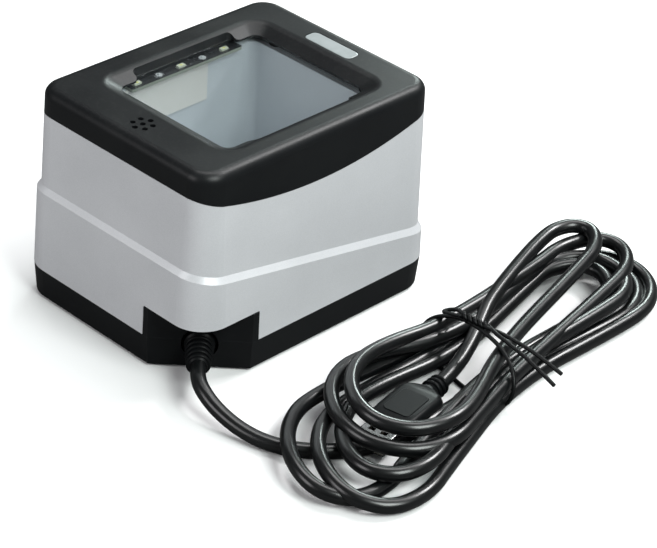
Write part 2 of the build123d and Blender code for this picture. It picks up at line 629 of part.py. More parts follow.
def lead_radii(points):
    """Radius of each arc of the lead: 0.45 of the shorter run over the half turn's tangent."""
    radii = []
    for before, here, after in zip(points, points[1:], points[2:]):
        run_in, run_out = Vector(*here) - Vector(*before), Vector(*after) - Vector(*here)
        half_turn = radians(run_in.get_angle(run_out)) / 2
        radii.append(0.45 * min(run_in.length, run_out.length) / tan(half_turn))
    return radii


radii = lead_radii(LEAD)
with BuildPart() as cable_lead:
    with BuildLine() as lead_path:
        FilletPolyline(*LEAD, radius=radii)
    with BuildSketch(Plane(origin=lead_path.wire() @ 0, z_dir=lead_path.wire() % 0)):
        Circle(CABLE_D / 2)
    sweep(path=lead_path.wire())
lead_length = lead_path.wire().length
print("lead radii", [round(r, 1) for r in radii], "length", round(lead_length, 1))
print("lead volume over section times length", cable_lead.part.volume / (lead_length * pi * CABLE_D**2 / 4))
save(cable_lead.part, "cable_lead")

# ---------------------------------------------------------------- plug
turn = radians(PLUG_TURN)
PLUG_PLANE = Plane(origin=PLUG_START, x_dir=(cos(turn), sin(turn), 0), z_dir=(sin(turn), -cos(turn), 0))
with BuildPart() as plug_overmould:
    with BuildSketch(PLUG_PLANE):
        Circle(NECK_R)
    extrude(amount=NECK)
    for rib in range(3):
        with BuildSketch(PLUG_PLANE.offset(1.5 + rib * 2.4)):
            Circle(NECK_R + 0.5)
            Circle(NECK_R - 0.5, mode=Mode.SUBTRACT)
        extrude(amount=0.9, mode=Mode.SUBTRACT)
    with BuildSketch(PLUG_PLANE.offset(NECK)):
        RectangleRounded(GRIP_W - 3, GRIP_H - 1, 2.5)
    with BuildSketch(PLUG_PLANE.offset(NECK + 3)):
        RectangleRounded(GRIP_W, GRIP_H, 2.0)
    loft()
    with BuildSketch(PLUG_PLANE.offset(NECK + 3)):
        RectangleRounded(GRIP_W, GRIP_H, 2.0)
    extrude(amount=GRIP - 3)
save(plug_overmould.part, "plug_overmould")

with BuildPart() as plug_shell:
    with BuildSketch(PLUG_PLANE.offset(NECK + GRIP)):
        RectangleRounded(SHELL_W, SHELL_H, 0.5)
        Rectangle(SHELL_W - 2 * SHELL_WALL, SHELL_H - 2 * SHELL_WALL, mode=Mode.SUBTRACT)
    extrude(amount=SHELL)
save(plug_shell.part, "plug_shell")

with BuildPart() as plug_insulator:
    with BuildSketch(PLUG_PLANE.offset(NECK + GRIP)):
        with Locations((0, -1.0)):
            Rectangle(SHELL_W - 2 * SHELL_WALL, 1.9)
    extrude(amount=SHELL - 0.5)
save(plug_insulator.part, "plug_insulator")

with BuildPart() as plug_contacts:
    with BuildSketch(PLUG_PLANE.offset(NECK + GRIP + 1)):
        with Locations((0, 0.05)):
            with GridLocations(2.3, 1, 4, 1):
                Rectangle(1.0, 0.2)
    extrude(amount=8)
save(plug_contacts.part, "plug_contacts")

# ---------------------------------------------------------------- wire tie and hank
WAIST, WAIST_R = (94.0, 27.0), 21.0
FOOT, FOOT_R = (102.5, -37.0), 31.0
HEAD, HEAD_R = (93.5, 84.0), 30.0
TIE_PLANE = Plane(origin=(*WAIST, 0), x_dir=(1, -0.12, 0), z_dir=(0.12, 1, 0))
with BuildPart() as twist_tie:
    with BuildSketch(TIE_PLANE):
        with Locations((0, -HANK_H / 2 - TIE / 2)):
            RectangleRounded(2 * (WAIST_R + TIE), HANK_H + TIE, 5)
            RectangleRounded(2 * WAIST_R, HANK_H - TIE, 4, mode=Mode.SUBTRACT)
    extrude(amount=TIE_W / 2, both=True)
save(twist_tie.part, "twist_tie")

# outer shape of the tied turns: two lobes that meet at the tie, each open in the middle
with BuildPart() as cable_hank:
    for centre, radius in ((FOOT, FOOT_R), (HEAD, HEAD_R)):
        with BuildSketch():
            with Locations(centre):
                Circle(radius)
            with Locations(WAIST):
                Circle(WAIST_R)
            make_hull()
        extrude(amount=HANK_H)
    fillet(faces().sort_by(Axis.Z)[-1].edges(), 4)
    for wide_end, wide_r, narrow_end, narrow_r in (
        ((100.0, -26.0), 15.0, (94.0, 8.0), 5.5),
        ((93.0, 82.0), 12.0, (93.0, 58.0), 5.0),
    ):
        with BuildSketch():
            with Locations(wide_end):
                Circle(wide_r)
            with Locations(narrow_end):
                Circle(narrow_r)
            make_hull()
        extrude(amount=2 * HANK_H, mode=Mode.SUBTRACT)
    for neighbour in (cable_lead, twist_tie, plug_overmould, plug_shell, plug_insulator):
        add(neighbour.part, mode=Mode.SUBTRACT)
save(cable_hank.part, "cable_hank")
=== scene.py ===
"""Looks of a desktop barcode scanner with its cable tied in a hank.

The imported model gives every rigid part; this file adds the cable, its plug and tie, the screws, the
light parts under the window and every finish. Lengths are metres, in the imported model's frame.
"""

import json
import logging
import math
from dataclasses import dataclass
from enum import Enum
from typing import Callable, Sequence

import bmesh
import bpy
from mathutils import Matrix, Vector


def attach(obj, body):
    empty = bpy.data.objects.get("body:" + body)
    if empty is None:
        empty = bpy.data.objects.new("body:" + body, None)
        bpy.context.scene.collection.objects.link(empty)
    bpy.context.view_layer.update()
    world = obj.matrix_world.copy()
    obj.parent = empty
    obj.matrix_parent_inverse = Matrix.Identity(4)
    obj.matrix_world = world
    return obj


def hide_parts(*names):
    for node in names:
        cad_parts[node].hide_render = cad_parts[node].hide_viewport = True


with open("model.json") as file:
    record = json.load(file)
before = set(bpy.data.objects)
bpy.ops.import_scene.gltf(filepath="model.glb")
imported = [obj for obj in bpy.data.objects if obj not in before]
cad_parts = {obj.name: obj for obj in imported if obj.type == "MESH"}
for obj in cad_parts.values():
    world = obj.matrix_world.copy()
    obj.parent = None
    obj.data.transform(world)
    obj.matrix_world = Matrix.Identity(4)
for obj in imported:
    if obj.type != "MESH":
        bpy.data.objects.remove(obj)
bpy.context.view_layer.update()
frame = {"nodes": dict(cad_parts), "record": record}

MM = 0.001
WELD, PACKED_WELD = 1e-7, 1e-6
LINE_STEPS = (6, 10)  # round a quarter of a line, and along it between two points
ORIGIN = (0.0, 0.0, 0.0)
BODY = "root"
Point = tuple[float, float, float]
Colour = tuple[float, float, float]
Socket = bpy.types.NodeSocket
Material = bpy.types.Material
Piece = bpy.types.Object
Shape = bmesh.types.BMesh
log = logging.getLogger("scanner")


# ------------------------------------------------------------------ shader graphs
class Graph:
    """A node tree with short calls for adding nodes and joining them."""

    def __init__(self, tree: bpy.types.NodeTree) -> None:
        """Keeps the tree that nodes are added to."""
        self.tree = tree

    def add(self, kind: str, inputs: dict | None = None, **properties: object) -> bpy.types.Node:
        """Adds one node.

        Args:
            kind: Blender's name of the node type.
            inputs: Socket name or index to a value, or to an output socket to join.
            properties: The node's own settings.

        Returns:
            The new node.
        """
        node = self.tree.nodes.new(kind)
        for name, value in properties.items():
            setattr(node, name, value)
        return self._fill(node, inputs or {})

    def _fill(self, node: bpy.types.Node, inputs: dict) -> bpy.types.Node:
        """Sets a node's inputs, or joins them to the sockets given.

        Args:
            node: The node.
            inputs: Socket name or index to a value, or to an output socket.

        Returns:
            The node.
        """
        for key, value in inputs.items():
            if isinstance(value, Socket):
                self.tree.links.new(value, node.inputs[key])
            else:
                node.inputs[key].default_value = value
        return node

    def math(self, operation: str, a: object, b: object = 0.0, clamp: bool = False) -> Socket:
        """Output of one Math node."""
        return self.add("ShaderNodeMath", {0: a, 1: b}, operation=operation, use_clamp=clamp).outputs[0]

    def span(
        self, value: object, low: float, high: float, to_low: object = 0.0, to_high: object = 1.0,
    ) -> Socket:
        """Output of a Map Range node, clamped."""
        sizes = {"Value": value, "From Min": low, "From Max": high, "To Min": to_low, "To Max": to_high}
        return self.add("ShaderNodeMapRange", sizes).outputs[0]

    def blend(self, share: object, first: object, second: object) -> Socket:
        """Colour that goes from the first to the second as the share grows.

        Args:
            share: From 0 to 1.
            first: Colour or socket at 0.
            second: Colour or socket at 1.

        Returns:
            The mixed colour.
        """
        first, second = ((*end, 1.0) if isinstance(end, tuple) else end for end in (first, second))
        node = self.add("ShaderNodeMix", data_type="RGBA")
        return self._fill(node, {0: share, 6: first, 7: second}).outputs[2]

    def object_place(self) -> Socket:
        """Place on the piece, in metres."""
        return self.add("ShaderNodeTexCoord").outputs["Object"]

    def upward(self) -> Socket:
        """How far the surface faces up: its normal's Z."""
        normal = self.add("ShaderNodeNewGeometry").outputs["Normal"]
        return self.add("ShaderNodeSeparateXYZ", {0: normal}).outputs["Z"]

    def group(self, tree: bpy.types.NodeTree, **inputs: object) -> bpy.types.Node:
        """Places a node group and sets its inputs; an underscore stands for a space."""
        node = self.add("ShaderNodeGroup", node_tree=tree)
        return self._fill(node, {name.replace("_", " "): value for name, value in inputs.items()})


def new_group(
    name: str, inputs: dict[str, tuple[str, object]], outputs: dict[str, str],
) -> tuple[Graph, dict, dict]:
    """Starts a shader node group.

    Args:
        name: Name of the group.
        inputs: Socket name to its type and default value.
        outputs: Socket name to its type.

    Returns:
        The graph, its input sockets by name, and the sockets that its outputs are joined to.
    """
    tree = bpy.data.node_groups.new(name, "ShaderNodeTree")
    for label, (kind, value) in inputs.items():
        socket = tree.interface.new_socket(label, in_out="INPUT", socket_type=kind)
        if value is not None:
            socket.default_value = value
    for label, kind in outputs.items():
        tree.interface.new_socket(label, in_out="OUTPUT", socket_type=kind)
    graph = Graph(tree)
    return graph, graph.add("NodeGroupInput").outputs, graph.add("NodeGroupOutput").inputs


def new_material(name: str) -> tuple[Material, Graph]:
    """An empty node material and its graph.

    Args:
        name: Name of the material.

    Returns:
        The material, and the graph of its node tree.
    """
    material = bpy.data.materials.new(name)
    material.use_nodes = True
    material.node_tree.nodes.clear()
    return material, Graph(material.node_tree)


NUMBER, VECTOR = "NodeSocketFloat", "NodeSocketVector"


class Effects:
    """Surface effects that several finishes share, each a node group built once.

    Scales are repeats per metre, and a pair of numbers is where a mask starts and where it is full.
    """

    FLAT_TO_EDGE = (0.995, 0.86)
    WEAR_SCALE, WEAR_PATCHES = 420.0, (0.42, 0.62)
    DUST_SCALE, DUST_PATCHES = 900.0, (0.5, 0.72)
    FACING_UP = (0.3, 1.0)

    def __init__(self) -> None:
        """Builds the groups."""
        self.grain = self._grain()
        self.wear = self._wear()
        self.dust = self._dust()

    @staticmethod
    def _grain() -> bpy.types.NodeTree:
        """Fine moulded texture: a height, and a slow change of tone.

        Returns:
            The group's tree.
        """
        graph, given, out = new_group(
            "moulded_grain",
            {"Place": (VECTOR, None), "Grain": (NUMBER, 3000.0), "Patch": (NUMBER, 60.0)},
            {"Height": NUMBER, "Tone": NUMBER},
        )
        for scale, detail, result in (("Grain", 2.5, "Height"), ("Patch", 4.0, "Tone")):
            noise = {"Vector": given["Place"], "Scale": given[scale], "Detail": detail}
            graph.tree.links.new(graph.add("ShaderNodeTexNoise", noise).outputs["Fac"], out[result])
        return graph.tree

    def _wear(self) -> bpy.types.NodeTree:
        """Mask of rubbed edges, broken up by noise.

        Returns:
            The group's tree.
        """
        graph, given, out = new_group(
            "edge_wear",
            {"Place": (VECTOR, None), "Radius": (NUMBER, 0.0006), "Amount": (NUMBER, 0.5)},
            {"Mask": NUMBER},
        )
        rounded = graph.add("ShaderNodeBevel", {"Radius": given["Radius"]}, samples=4).outputs[0]
        flat = graph.add("ShaderNodeNewGeometry").outputs["Normal"]
        same = graph.add("ShaderNodeVectorMath", {0: rounded, 1: flat}, operation="DOT_PRODUCT")
        edge = graph.span(same.outputs["Value"], *self.FLAT_TO_EDGE)
        broken = {"Vector": given["Place"], "Scale": self.WEAR_SCALE, "Detail": 5.0}
        patches = graph.span(graph.add("ShaderNodeTexNoise", broken).outputs["Fac"], *self.WEAR_PATCHES)
        mask = graph.math("MULTIPLY", graph.math("MULTIPLY", edge, patches), given["Amount"], clamp=True)
        graph.tree.links.new(mask, out["Mask"])
        return graph.tree

    def _dust(self) -> bpy.types.NodeTree:
        """Mask of dust that lies on surfaces that face up.

        Returns:
            The group's tree.
        """
        graph, given, out = new_group(
            "settled_dust", {"Place": (VECTOR, None), "Amount": (NUMBER, 0.2)}, {"Mask": NUMBER}
        )
        specks = {"Vector": given["Place"], "Scale": self.DUST_SCALE, "Detail": 6.0}
        spread = graph.span(graph.add("ShaderNodeTexNoise", specks).outputs["Fac"], *self.DUST_PATCHES)
        lying = graph.math("MULTIPLY", graph.span(graph.upward(), *self.FACING_UP), spread)
        graph.tree.links.new(graph.math("MULTIPLY", lying, given["Amount"], clamp=True), out["Mask"])
        return graph.tree


# ------------------------------------------------------------------ finishes
class Sheen(Enum):
    """How a finish scatters light besides its colour."""

    PLAIN = "plain"
    PEARL = "pearl"
    BRUSHED = "brushed"
    WOVEN = "woven"
    TRACKS = "tracks"
    MILKY = "milky"


@dataclass(frozen=True)
class Finish:
    """A procedural surface finish.

    Colours are linear. Grain and patch are repeats per metre, relief is the grain's depth in metres.
    The wear colour also draws a weave's threads and a board's tracks, the edge colour a board's rim.
    """

    DUST_COLOUR = (0.55, 0.54, 0.51)
    FLAKE_COLOUR = (0.95, 0.95, 1.0)
    FLAKE_SCALE, FLAKE_SHARE = 5200.0, 0.16
    BRUSH_SCALE = (60.0, 60.0, 2400.0)
    THREAD_SCALE = 420.0
    TRACK_SCALES, TRACK_WIDTHS = (190.0, 130.0), (0.035, 0.03)
    MILK_SCALE, MILK_SHARE = 240.0, 0.5
    WEAR_GLOSS, DUST_ROUGHNESS = 0.12, 0.3
    SCATTER_REACH = 0.002

    slot: str
    colour: Colour
    shade: Colour
    roughness: tuple[float, float] = (0.35, 0.5)
    metallic: float = 0.0
    grain: float = 3000.0
    patch: float = 60.0
    relief: float = 0.00002
    relief_strength: float = 0.25
    wear: float = 0.0
    wear_colour: Colour = (0.3, 0.3, 0.3)
    wear_radius: float = 0.0005
    edge_colour: Colour = (0.3, 0.32, 0.27)
    dust: float = 0.0
    coat: float = 0.0
    coat_roughness: float = 0.1
    specular: float = 0.5
    subsurface: float = 0.0
    sheen: Sheen = Sheen.PLAIN

    def build(self, effects: Effects) -> Material:
        """Makes the material.

        Args:
            effects: The shared node groups.

        Returns:
            The material, named after its slot.
        """
        material, graph = new_material(self.slot)
        place = graph.object_place()
        grain = graph.group(effects.grain, Place=place, Grain=self.grain, Patch=self.patch)
        height, tone = grain.outputs["Height"], grain.outputs["Tone"]
        colour = graph.blend(graph.span(tone, 0.35, 0.65), self.colour, self.shade)
        rough = graph.span(tone, 0.3, 0.7, *self.roughness)
        colour, height = self._pattern(graph, place, colour, height)
        if self.wear:
            worn = graph.group(effects.wear, Place=place, Radius=self.wear_radius, Amount=self.wear)
            mask = worn.outputs["Mask"]
            colour = graph.blend(mask, colour, self.wear_colour)
            rough = graph.math("SUBTRACT", rough, graph.math("MULTIPLY", mask, self.WEAR_GLOSS), clamp=True)
        if self.dust:
            mask = graph.group(effects.dust, Place=place, Amount=self.dust).outputs["Mask"]
            colour = graph.blend(mask, colour, self.DUST_COLOUR)
            rough = graph.math("ADD", rough, graph.math("MULTIPLY", mask, self.DUST_ROUGHNESS), clamp=True)
        relief = {"Strength": self.relief_strength, "Distance": self.relief, "Height": height}
        shader = graph.add("ShaderNodeBsdfPrincipled", {
            "Base Color": colour, "Roughness": rough, "Metallic": self.metallic,
            "Specular IOR Level": self.specular, "Coat Weight": self.coat,
            "Coat Roughness": self.coat_roughness, "Subsurface Weight": self.subsurface,
            "Normal": graph.add("ShaderNodeBump", relief).outputs[0],
        })
        shader.inputs["Subsurface Radius"].default_value = (self.SCATTER_REACH,) * 3
        graph.add("ShaderNodeOutputMaterial", {"Surface": shader.outputs[0]})
        return material

    def _pattern(
        self, graph: Graph, place: Socket, colour: Socket, height: Socket,
    ) -> tuple[Socket, Socket]:
        """Adds the pattern that the sheen asks for.

        Args:
            graph: The material's graph.
            place: Place on the piece.
            colour: The colour so far.
            height: The grain's height.

        Returns:
            The colour and the height with the pattern in them.
        """
        if self.sheen is Sheen.PEARL:
            flakes = graph.add("ShaderNodeTexVoronoi", {"Vector": place, "Scale": self.FLAKE_SCALE})
            glint = graph.add("ShaderNodeSeparateColor", {0: flakes.outputs["Color"]}).outputs[0]
            share = graph.span(glint, 0.0, 1.0, 0.0, self.FLAKE_SHARE)
            return graph.blend(share, colour, self.FLAKE_COLOUR), height
        if self.sheen is Sheen.BRUSHED:
            lines = graph.add("ShaderNodeMapping", {"Vector": place, "Scale": self.BRUSH_SCALE}).outputs[0]
            drawn = graph.add("ShaderNodeTexNoise", {"Vector": lines, "Scale": 1.0, "Detail": 3.0})
            return colour, graph.math("ADD", height, drawn.outputs["Fac"])
        if self.sheen is Sheen.WOVEN:
            yarn = {"Vector": place, "Scale": self.THREAD_SCALE}
            waves = [graph.add("ShaderNodeTexWave", yarn, bands_direction=axis) for axis in "XY"]
            threads = graph.math("MAXIMUM", *(wave.outputs["Fac"] for wave in waves))
            return graph.blend(threads, colour, self.wear_colour), threads
        if self.sheen is Sheen.TRACKS:
            turned = graph.add("ShaderNodeMapping", {"Vector": place, "Rotation": (0.0, 0.0, math.pi / 2)})
            ways = zip((place, turned.outputs[0]), self.TRACK_SCALES, self.TRACK_WIDTHS)
            runs = [
                graph.add("ShaderNodeTexBrick", {"Vector": way, "Scale": scale, "Mortar Size": width})
                for way, scale, width in ways
            ]
            tracks = graph.math("MAXIMUM", *(run.outputs["Fac"] for run in runs))
            printed = graph.blend(tracks, colour, self.wear_colour)
            bare = graph.span(graph.math("ABSOLUTE", graph.upward()), 0.3, 0.7, 1.0, 0.0)
            return graph.blend(bare, printed, self.edge_colour), graph.math("ADD", height, tracks)
        if self.sheen is Sheen.MILKY:
            cloudy = {"Vector": place, "Scale": self.MILK_SCALE, "Detail": 2.0}
            cloud = graph.add("ShaderNodeTexNoise", cloudy).outputs["Fac"]
            milk = graph.span(cloud, 0.3, 0.7, 0.0, self.MILK_SHARE)
            return graph.blend(milk, colour, self.shade), height
        return colour, height


@dataclass(frozen=True)
class ClearFinish:
    """Glass or clear resin, which lets light through to what is behind it.

    Ripple is the repeats per metre of its faint relief, and haze the share of it that isn't clear.
    """

    PATCH, RELIEF, RELIEF_STRENGTH = 90.0, 0.00001, 0.05

    slot: str
    colour: Colour
    ior: float
    roughness: tuple[float, float]
    ripple: float
    haze: float = 0.0

    def build(self, effects: Effects) -> Material:
        """Makes the material; light that only passes through isn't blocked.

        Args:
            effects: The shared node groups.

        Returns:
            The material, named after its slot.
        """
        material, graph = new_material(self.slot)
        place = graph.object_place()
        grain = graph.group(effects.grain, Place=place, Grain=self.ripple, Patch=self.PATCH)
        rough = graph.span(grain.outputs["Tone"], 0.35, 0.75, *self.roughness)
        relief = {
            "Strength": self.RELIEF_STRENGTH, "Distance": self.RELIEF, "Height": grain.outputs["Height"],
        }
        shader = graph.add("ShaderNodeBsdfPrincipled", {
            "Base Color": (*self.colour, 1.0), "Roughness": rough, "IOR": self.ior,
            "Transmission Weight": 1.0 - self.haze,
            "Normal": graph.add("ShaderNodeBump", relief).outputs[0],
        })
        through = graph.add("ShaderNodeBsdfTransparent", {"Color": (*self.colour, 1.0)})
        path = graph.add("ShaderNodeLightPath").outputs
        unseen = graph.math("MAXIMUM", path["Is Shadow Ray"], path["Is Diffuse Ray"])
        mixed = graph.add("ShaderNodeMixShader", {0: unseen, 1: shader.outputs[0], 2: through.outputs[0]})
        graph.add("ShaderNodeOutputMaterial", {"Surface": mixed.outputs[0]})
        return material


FINISHES = (
    Finish("black_case", (0.0042, 0.005, 0.006), (0.0056, 0.0066, 0.0074), (0.37, 0.43), grain=3400.0,
           relief=0.00003, relief_strength=0.18, wear=0.25, wear_colour=(0.035, 0.039, 0.039), dust=0.012,
           specular=0.34),
    Finish("silver_case", (0.6, 0.61, 0.63), (0.64, 0.65, 0.67), (0.4, 0.48), metallic=0.2, grain=2600.0,
           patch=35.0, relief=0.00001, relief_strength=0.15, wear=0.3, wear_colour=(0.7, 0.7, 0.72),
           dust=0.04, coat=0.2, coat_roughness=0.35, sheen=Sheen.PEARL),
    ClearFinish("window_glass", (0.88, 0.905, 0.91), 1.5, (0.0, 0.02), 40.0),
    Finish("adhesive_foam", (0.012, 0.012, 0.012), (0.018, 0.018, 0.018), (0.75, 0.9), grain=1800.0,
           relief=0.0002, relief_strength=0.6),
    Finish("diffuser", (0.28, 0.31, 0.315), (0.34, 0.37, 0.375), (0.22, 0.3), grain=2400.0, subsurface=0.3,
           coat=0.25, coat_roughness=0.12, sheen=Sheen.MILKY),
    Finish("board_green", (0.006, 0.06, 0.022), (0.01, 0.085, 0.03), (0.24, 0.34), grain=1500.0,
           wear_colour=(0.02, 0.15, 0.06), sheen=Sheen.TRACKS),
    Finish("board_black", (0.012, 0.013, 0.014), (0.018, 0.019, 0.021), (0.25, 0.35), grain=1500.0,
           wear_colour=(0.03, 0.032, 0.035), sheen=Sheen.TRACKS),
    Finish("led_package", (0.6, 0.63, 0.5), (0.68, 0.7, 0.57), (0.3, 0.4), grain=4000.0, coat=0.2),
    ClearFinish("clear_resin", (0.96, 0.97, 0.98), 1.46, (0.02, 0.06), 900.0, haze=0.5),
    Finish("grille_cloth", (0.004, 0.004, 0.004), (0.008, 0.008, 0.008), (0.8, 0.95), relief=0.0001,
           relief_strength=0.8, wear_colour=(0.02, 0.02, 0.02), sheen=Sheen.WOVEN),
    Finish("chip_black", (0.01, 0.01, 0.011), (0.018, 0.018, 0.019), (0.45, 0.6), grain=5200.0,
           relief_strength=0.4, wear=0.2, wear_colour=(0.06, 0.06, 0.06), wear_radius=0.0002),
    Finish("chamber_grey", (0.59, 0.615, 0.645), (0.63, 0.655, 0.685), (0.3, 0.42), grain=1600.0,
           patch=25.0, relief_strength=0.1),
    Finish("reflector_white", (0.76, 0.73, 0.69), (0.8, 0.77, 0.73), (0.35, 0.5), grain=1400.0,
           relief_strength=0.15),
    Finish("ribbon", (0.5, 0.5, 0.47), (0.6, 0.6, 0.57), (0.3, 0.4), grain=900.0),
    # plated_metal: its colour is darker than bare nickel, a painted shade that keeps the plug's shell dark;
    # the wear colour is the bare nickel at rubbed edges.
    Finish("plated_metal", (0.26, 0.26, 0.265), (0.34, 0.34, 0.34), (0.16, 0.26), metallic=1.0,
           grain=2200.0, relief=0.00001, wear=0.3, wear_colour=(0.55, 0.55, 0.54), sheen=Sheen.BRUSHED),
    Finish("connector_nylon", (0.66, 0.63, 0.55), (0.74, 0.71, 0.62), (0.4, 0.5), grain=1800.0,
           subsurface=0.1),
    Finish("cable_rubber", (0.0035, 0.004, 0.0045), (0.006, 0.0066, 0.007), (0.3, 0.4), grain=3800.0,
           relief=0.00004, relief_strength=0.25, wear=0.2, wear_colour=(0.02, 0.02, 0.022), dust=0.004,
           specular=0.1),
    Finish("cable_jacket", (0.002, 0.0025, 0.0028), (0.0035, 0.0042, 0.0045), (0.3, 0.36), grain=500.0,
           patch=140.0, relief_strength=0.03, dust=0.003, coat=0.55, coat_roughness=0.2, specular=0.4),
    Finish("contact_gold", (0.75, 0.5, 0.16), (0.82, 0.58, 0.22), (0.15, 0.28), metallic=1.0, grain=2500.0),
    Finish("tie_coating", (0.003, 0.0034, 0.0036), (0.005, 0.0056, 0.006), (0.3, 0.42), grain=2600.0,
           dust=0.008, specular=0.2),
    Finish("foot_rubber", (0.02, 0.02, 0.021), (0.03, 0.03, 0.031), (0.65, 0.8), grain=2300.0,
           relief=0.00008, relief_strength=0.6, wear=0.5, wear_colour=(0.08, 0.08, 0.08), dust=0.2),
    Finish("label", (0.5, 0.51, 0.52), (0.56, 0.57, 0.58), (0.3, 0.4), metallic=0.4, grain=1200.0),
    Finish("screw_steel", (0.32, 0.32, 0.33), (0.42, 0.42, 0.43), (0.25, 0.4), metallic=1.0, grain=3000.0,
           wear=0.5, wear_colour=(0.6, 0.6, 0.6), wear_radius=0.0002),
    Finish("phosphor", (0.62, 0.6, 0.18), (0.7, 0.68, 0.26), (0.4, 0.55), grain=6000.0,
           relief_strength=0.4),
    Finish("solder", (0.6, 0.6, 0.62), (0.7, 0.7, 0.72), (0.2, 0.35), metallic=1.0, grain=3600.0,
           relief=0.00005),
)


class Palette:
    """Every finish as a material, by slot name."""

    def __init__(self) -> None:
        """Builds the shared effects and the materials."""
        effects = Effects()
        self.made = {finish.slot: finish.build(effects) for finish in FINISHES}

    def __getitem__(self, slot: str) -> Material:
        """The material of one slot."""
        return self.made[slot]


# ------------------------------------------------------------------ mesh helpers
def link(name: str, data: bpy.types.Mesh | bpy.types.Curve) -> Piece:
    """Puts data in the scene as an object at the origin.

    Args:
        name: Name of the object.
        data: Its mesh or curve.

    Returns:
        The object.
    """
    made = bpy.data.objects.new(name, data)
    bpy.context.scene.collection.objects.link(made)
    return made


def mesh_from(name: str, shape: Shape) -> bpy.types.Mesh:
    """Turns a bmesh into mesh data and frees it.

    Args:
        name: Name of the mesh.
        shape: The bmesh.

    Returns:
        The mesh.
    """
    mesh = bpy.data.meshes.new(name)
    shape.to_mesh(mesh)
    shape.free()
    return mesh


def shade(mesh: bpy.types.Mesh, sharp: float) -> None:
    """Shades a mesh smooth, apart from edges that turn more than this many degrees."""
    mesh.shade_smooth()
    mesh.set_sharp_from_angle(angle=math.radians(sharp))


def object_from(name: str, shape: Shape, material: Material, sharp: float = 35.0) -> Piece:
    """Turns a bmesh into a finished object.

    Args:
        name: Name of the piece.
        shape: The mesh, which is freed.
        material: Its material.
        sharp: Edges that turn more than this many degrees stay sharp.

    Returns:
        The object.
    """
    bmesh.ops.remove_doubles(shape, verts=shape.verts, dist=WELD)
    bmesh.ops.recalc_face_normals(shape, faces=shape.faces)
    mesh = mesh_from(name, shape)
    shade(mesh, sharp)
    mesh.materials.append(material)
    return link(name, mesh)


def baked(source: Piece) -> Piece:
    """Replaces an object's live modifiers, or a curve, with the plain mesh that they make.

    Args:
        source: Object with modifiers, or a curve.

    Returns:
        A mesh object of the same name with no modifier.
    """
    name = source.name
    bpy.context.view_layer.update()
    evaluated = source.evaluated_get(bpy.context.evaluated_depsgraph_get())
    mesh = bpy.data.meshes.new_from_object(evaluated)
    bpy.data.objects.remove(source)
    mesh.name = name
    return link(name, mesh)


def join(name: str, parts: Sequence[Piece]) -> Piece:
    """Joins mesh objects that sit at the origin into one, keeping their materials.

    Args:
        name: Name of the joined piece.
        parts: The objects, which are removed.

    Returns:
        The joined object.
    """
    shape = bmesh.new()
    materials: list[Material] = []
    for part in parts:
        first = len(shape.faces)
        shape.from_mesh(part.data)
        shape.faces.ensure_lookup_table()
        own = list(part.data.materials)
        materials += [material for material in own if material not in materials]
        for face in shape.faces[first:]:
            face.material_index = materials.index(own[face.material_index])
        bpy.data.objects.remove(part)
    mesh = mesh_from(name, shape)
    for material in materials:
        mesh.materials.append(material)
    return link(name, mesh)


def island_boxes(node: str) -> list[tuple[Vector, Vector]]:
    """Lowest and highest corner of each separate solid of a CAD node.

    Args:
        node: Name of the CAD node.

    Returns:
        One pair of corners for each solid, from low X to high X.
    """
    shape = bmesh.new()
    shape.from_mesh(frame["nodes"][node].data)
    bmesh.ops.remove_doubles(shape, verts=shape.verts, dist=PACKED_WELD)
    left, boxes = set(shape.verts), []
    while left:
        stack, found = [left.pop()], []
        while stack:
            vert = stack.pop()
            found.append(vert.co.copy())
            for edge in vert.link_edges:
                other = edge.other_vert(vert)
                if other in left:
                    left.remove(other)
                    stack.append(other)
        boxes.append(tuple(Vector([pick(co[i] for co in found) for i in range(3)]) for pick in (min, max)))
    shape.free()
    return sorted(boxes, key=lambda box: (round(box[0].x, 4), round(box[0].y, 4)))


def revolve(profile: Sequence[tuple[float, float]], place: Matrix, turns: int = 48) -> Shape:
    """Turns a profile about an axis.

    Args:
        profile: (distance along the axis, radius) pairs, from one end to the other.
        place: Matrix whose Z axis is the axis.
        turns: Sides round the axis.

    Returns:
        The closed mesh.
    """
    shape = bmesh.new()
    ways = [(math.cos(2 * math.pi * k / turns), math.sin(2 * math.pi * k / turns)) for k in range(turns)]
    rings = []
    for along, radius in profile:
        if radius == 0.0:
            rings.append([shape.verts.new(place @ Vector((0.0, 0.0, along)))] * turns)
            continue
        corners = [Vector((radius * x, radius * y, along)) for x, y in ways]
        rings.append([shape.verts.new(place @ corner) for corner in corners])
    for low, high in zip(rings, rings[1:]):
        for k in range(turns):
            corners = [low[k], low[(k + 1) % turns], high[(k + 1) % turns], high[k]]
            shape.faces.new(list(dict.fromkeys(corners)))
    for ring in (rings[0], rings[-1]):
        if ring[0] is not ring[1]:
            shape.faces.new(ring)
    return shape


def loft(sections: Sequence[Sequence[Point]], place: Matrix) -> Shape:
    """Skins closed sections of equal point counts and caps both ends.

    Args:
        sections: Points of each section, in order.
        place: Matrix that the points are put through.

    Returns:
        The closed mesh.
    """
    shape = bmesh.new()
    rings = [[shape.verts.new(place @ Vector(p)) for p in section] for section in sections]
    count = len(rings[0])
    for low, high in zip(rings, rings[1:]):
        for k in range(count):
            shape.faces.new((low[k], low[(k + 1) % count], high[(k + 1) % count], high[k]))
    shape.faces.new(rings[0])
    shape.faces.new(rings[-1])
    return shape


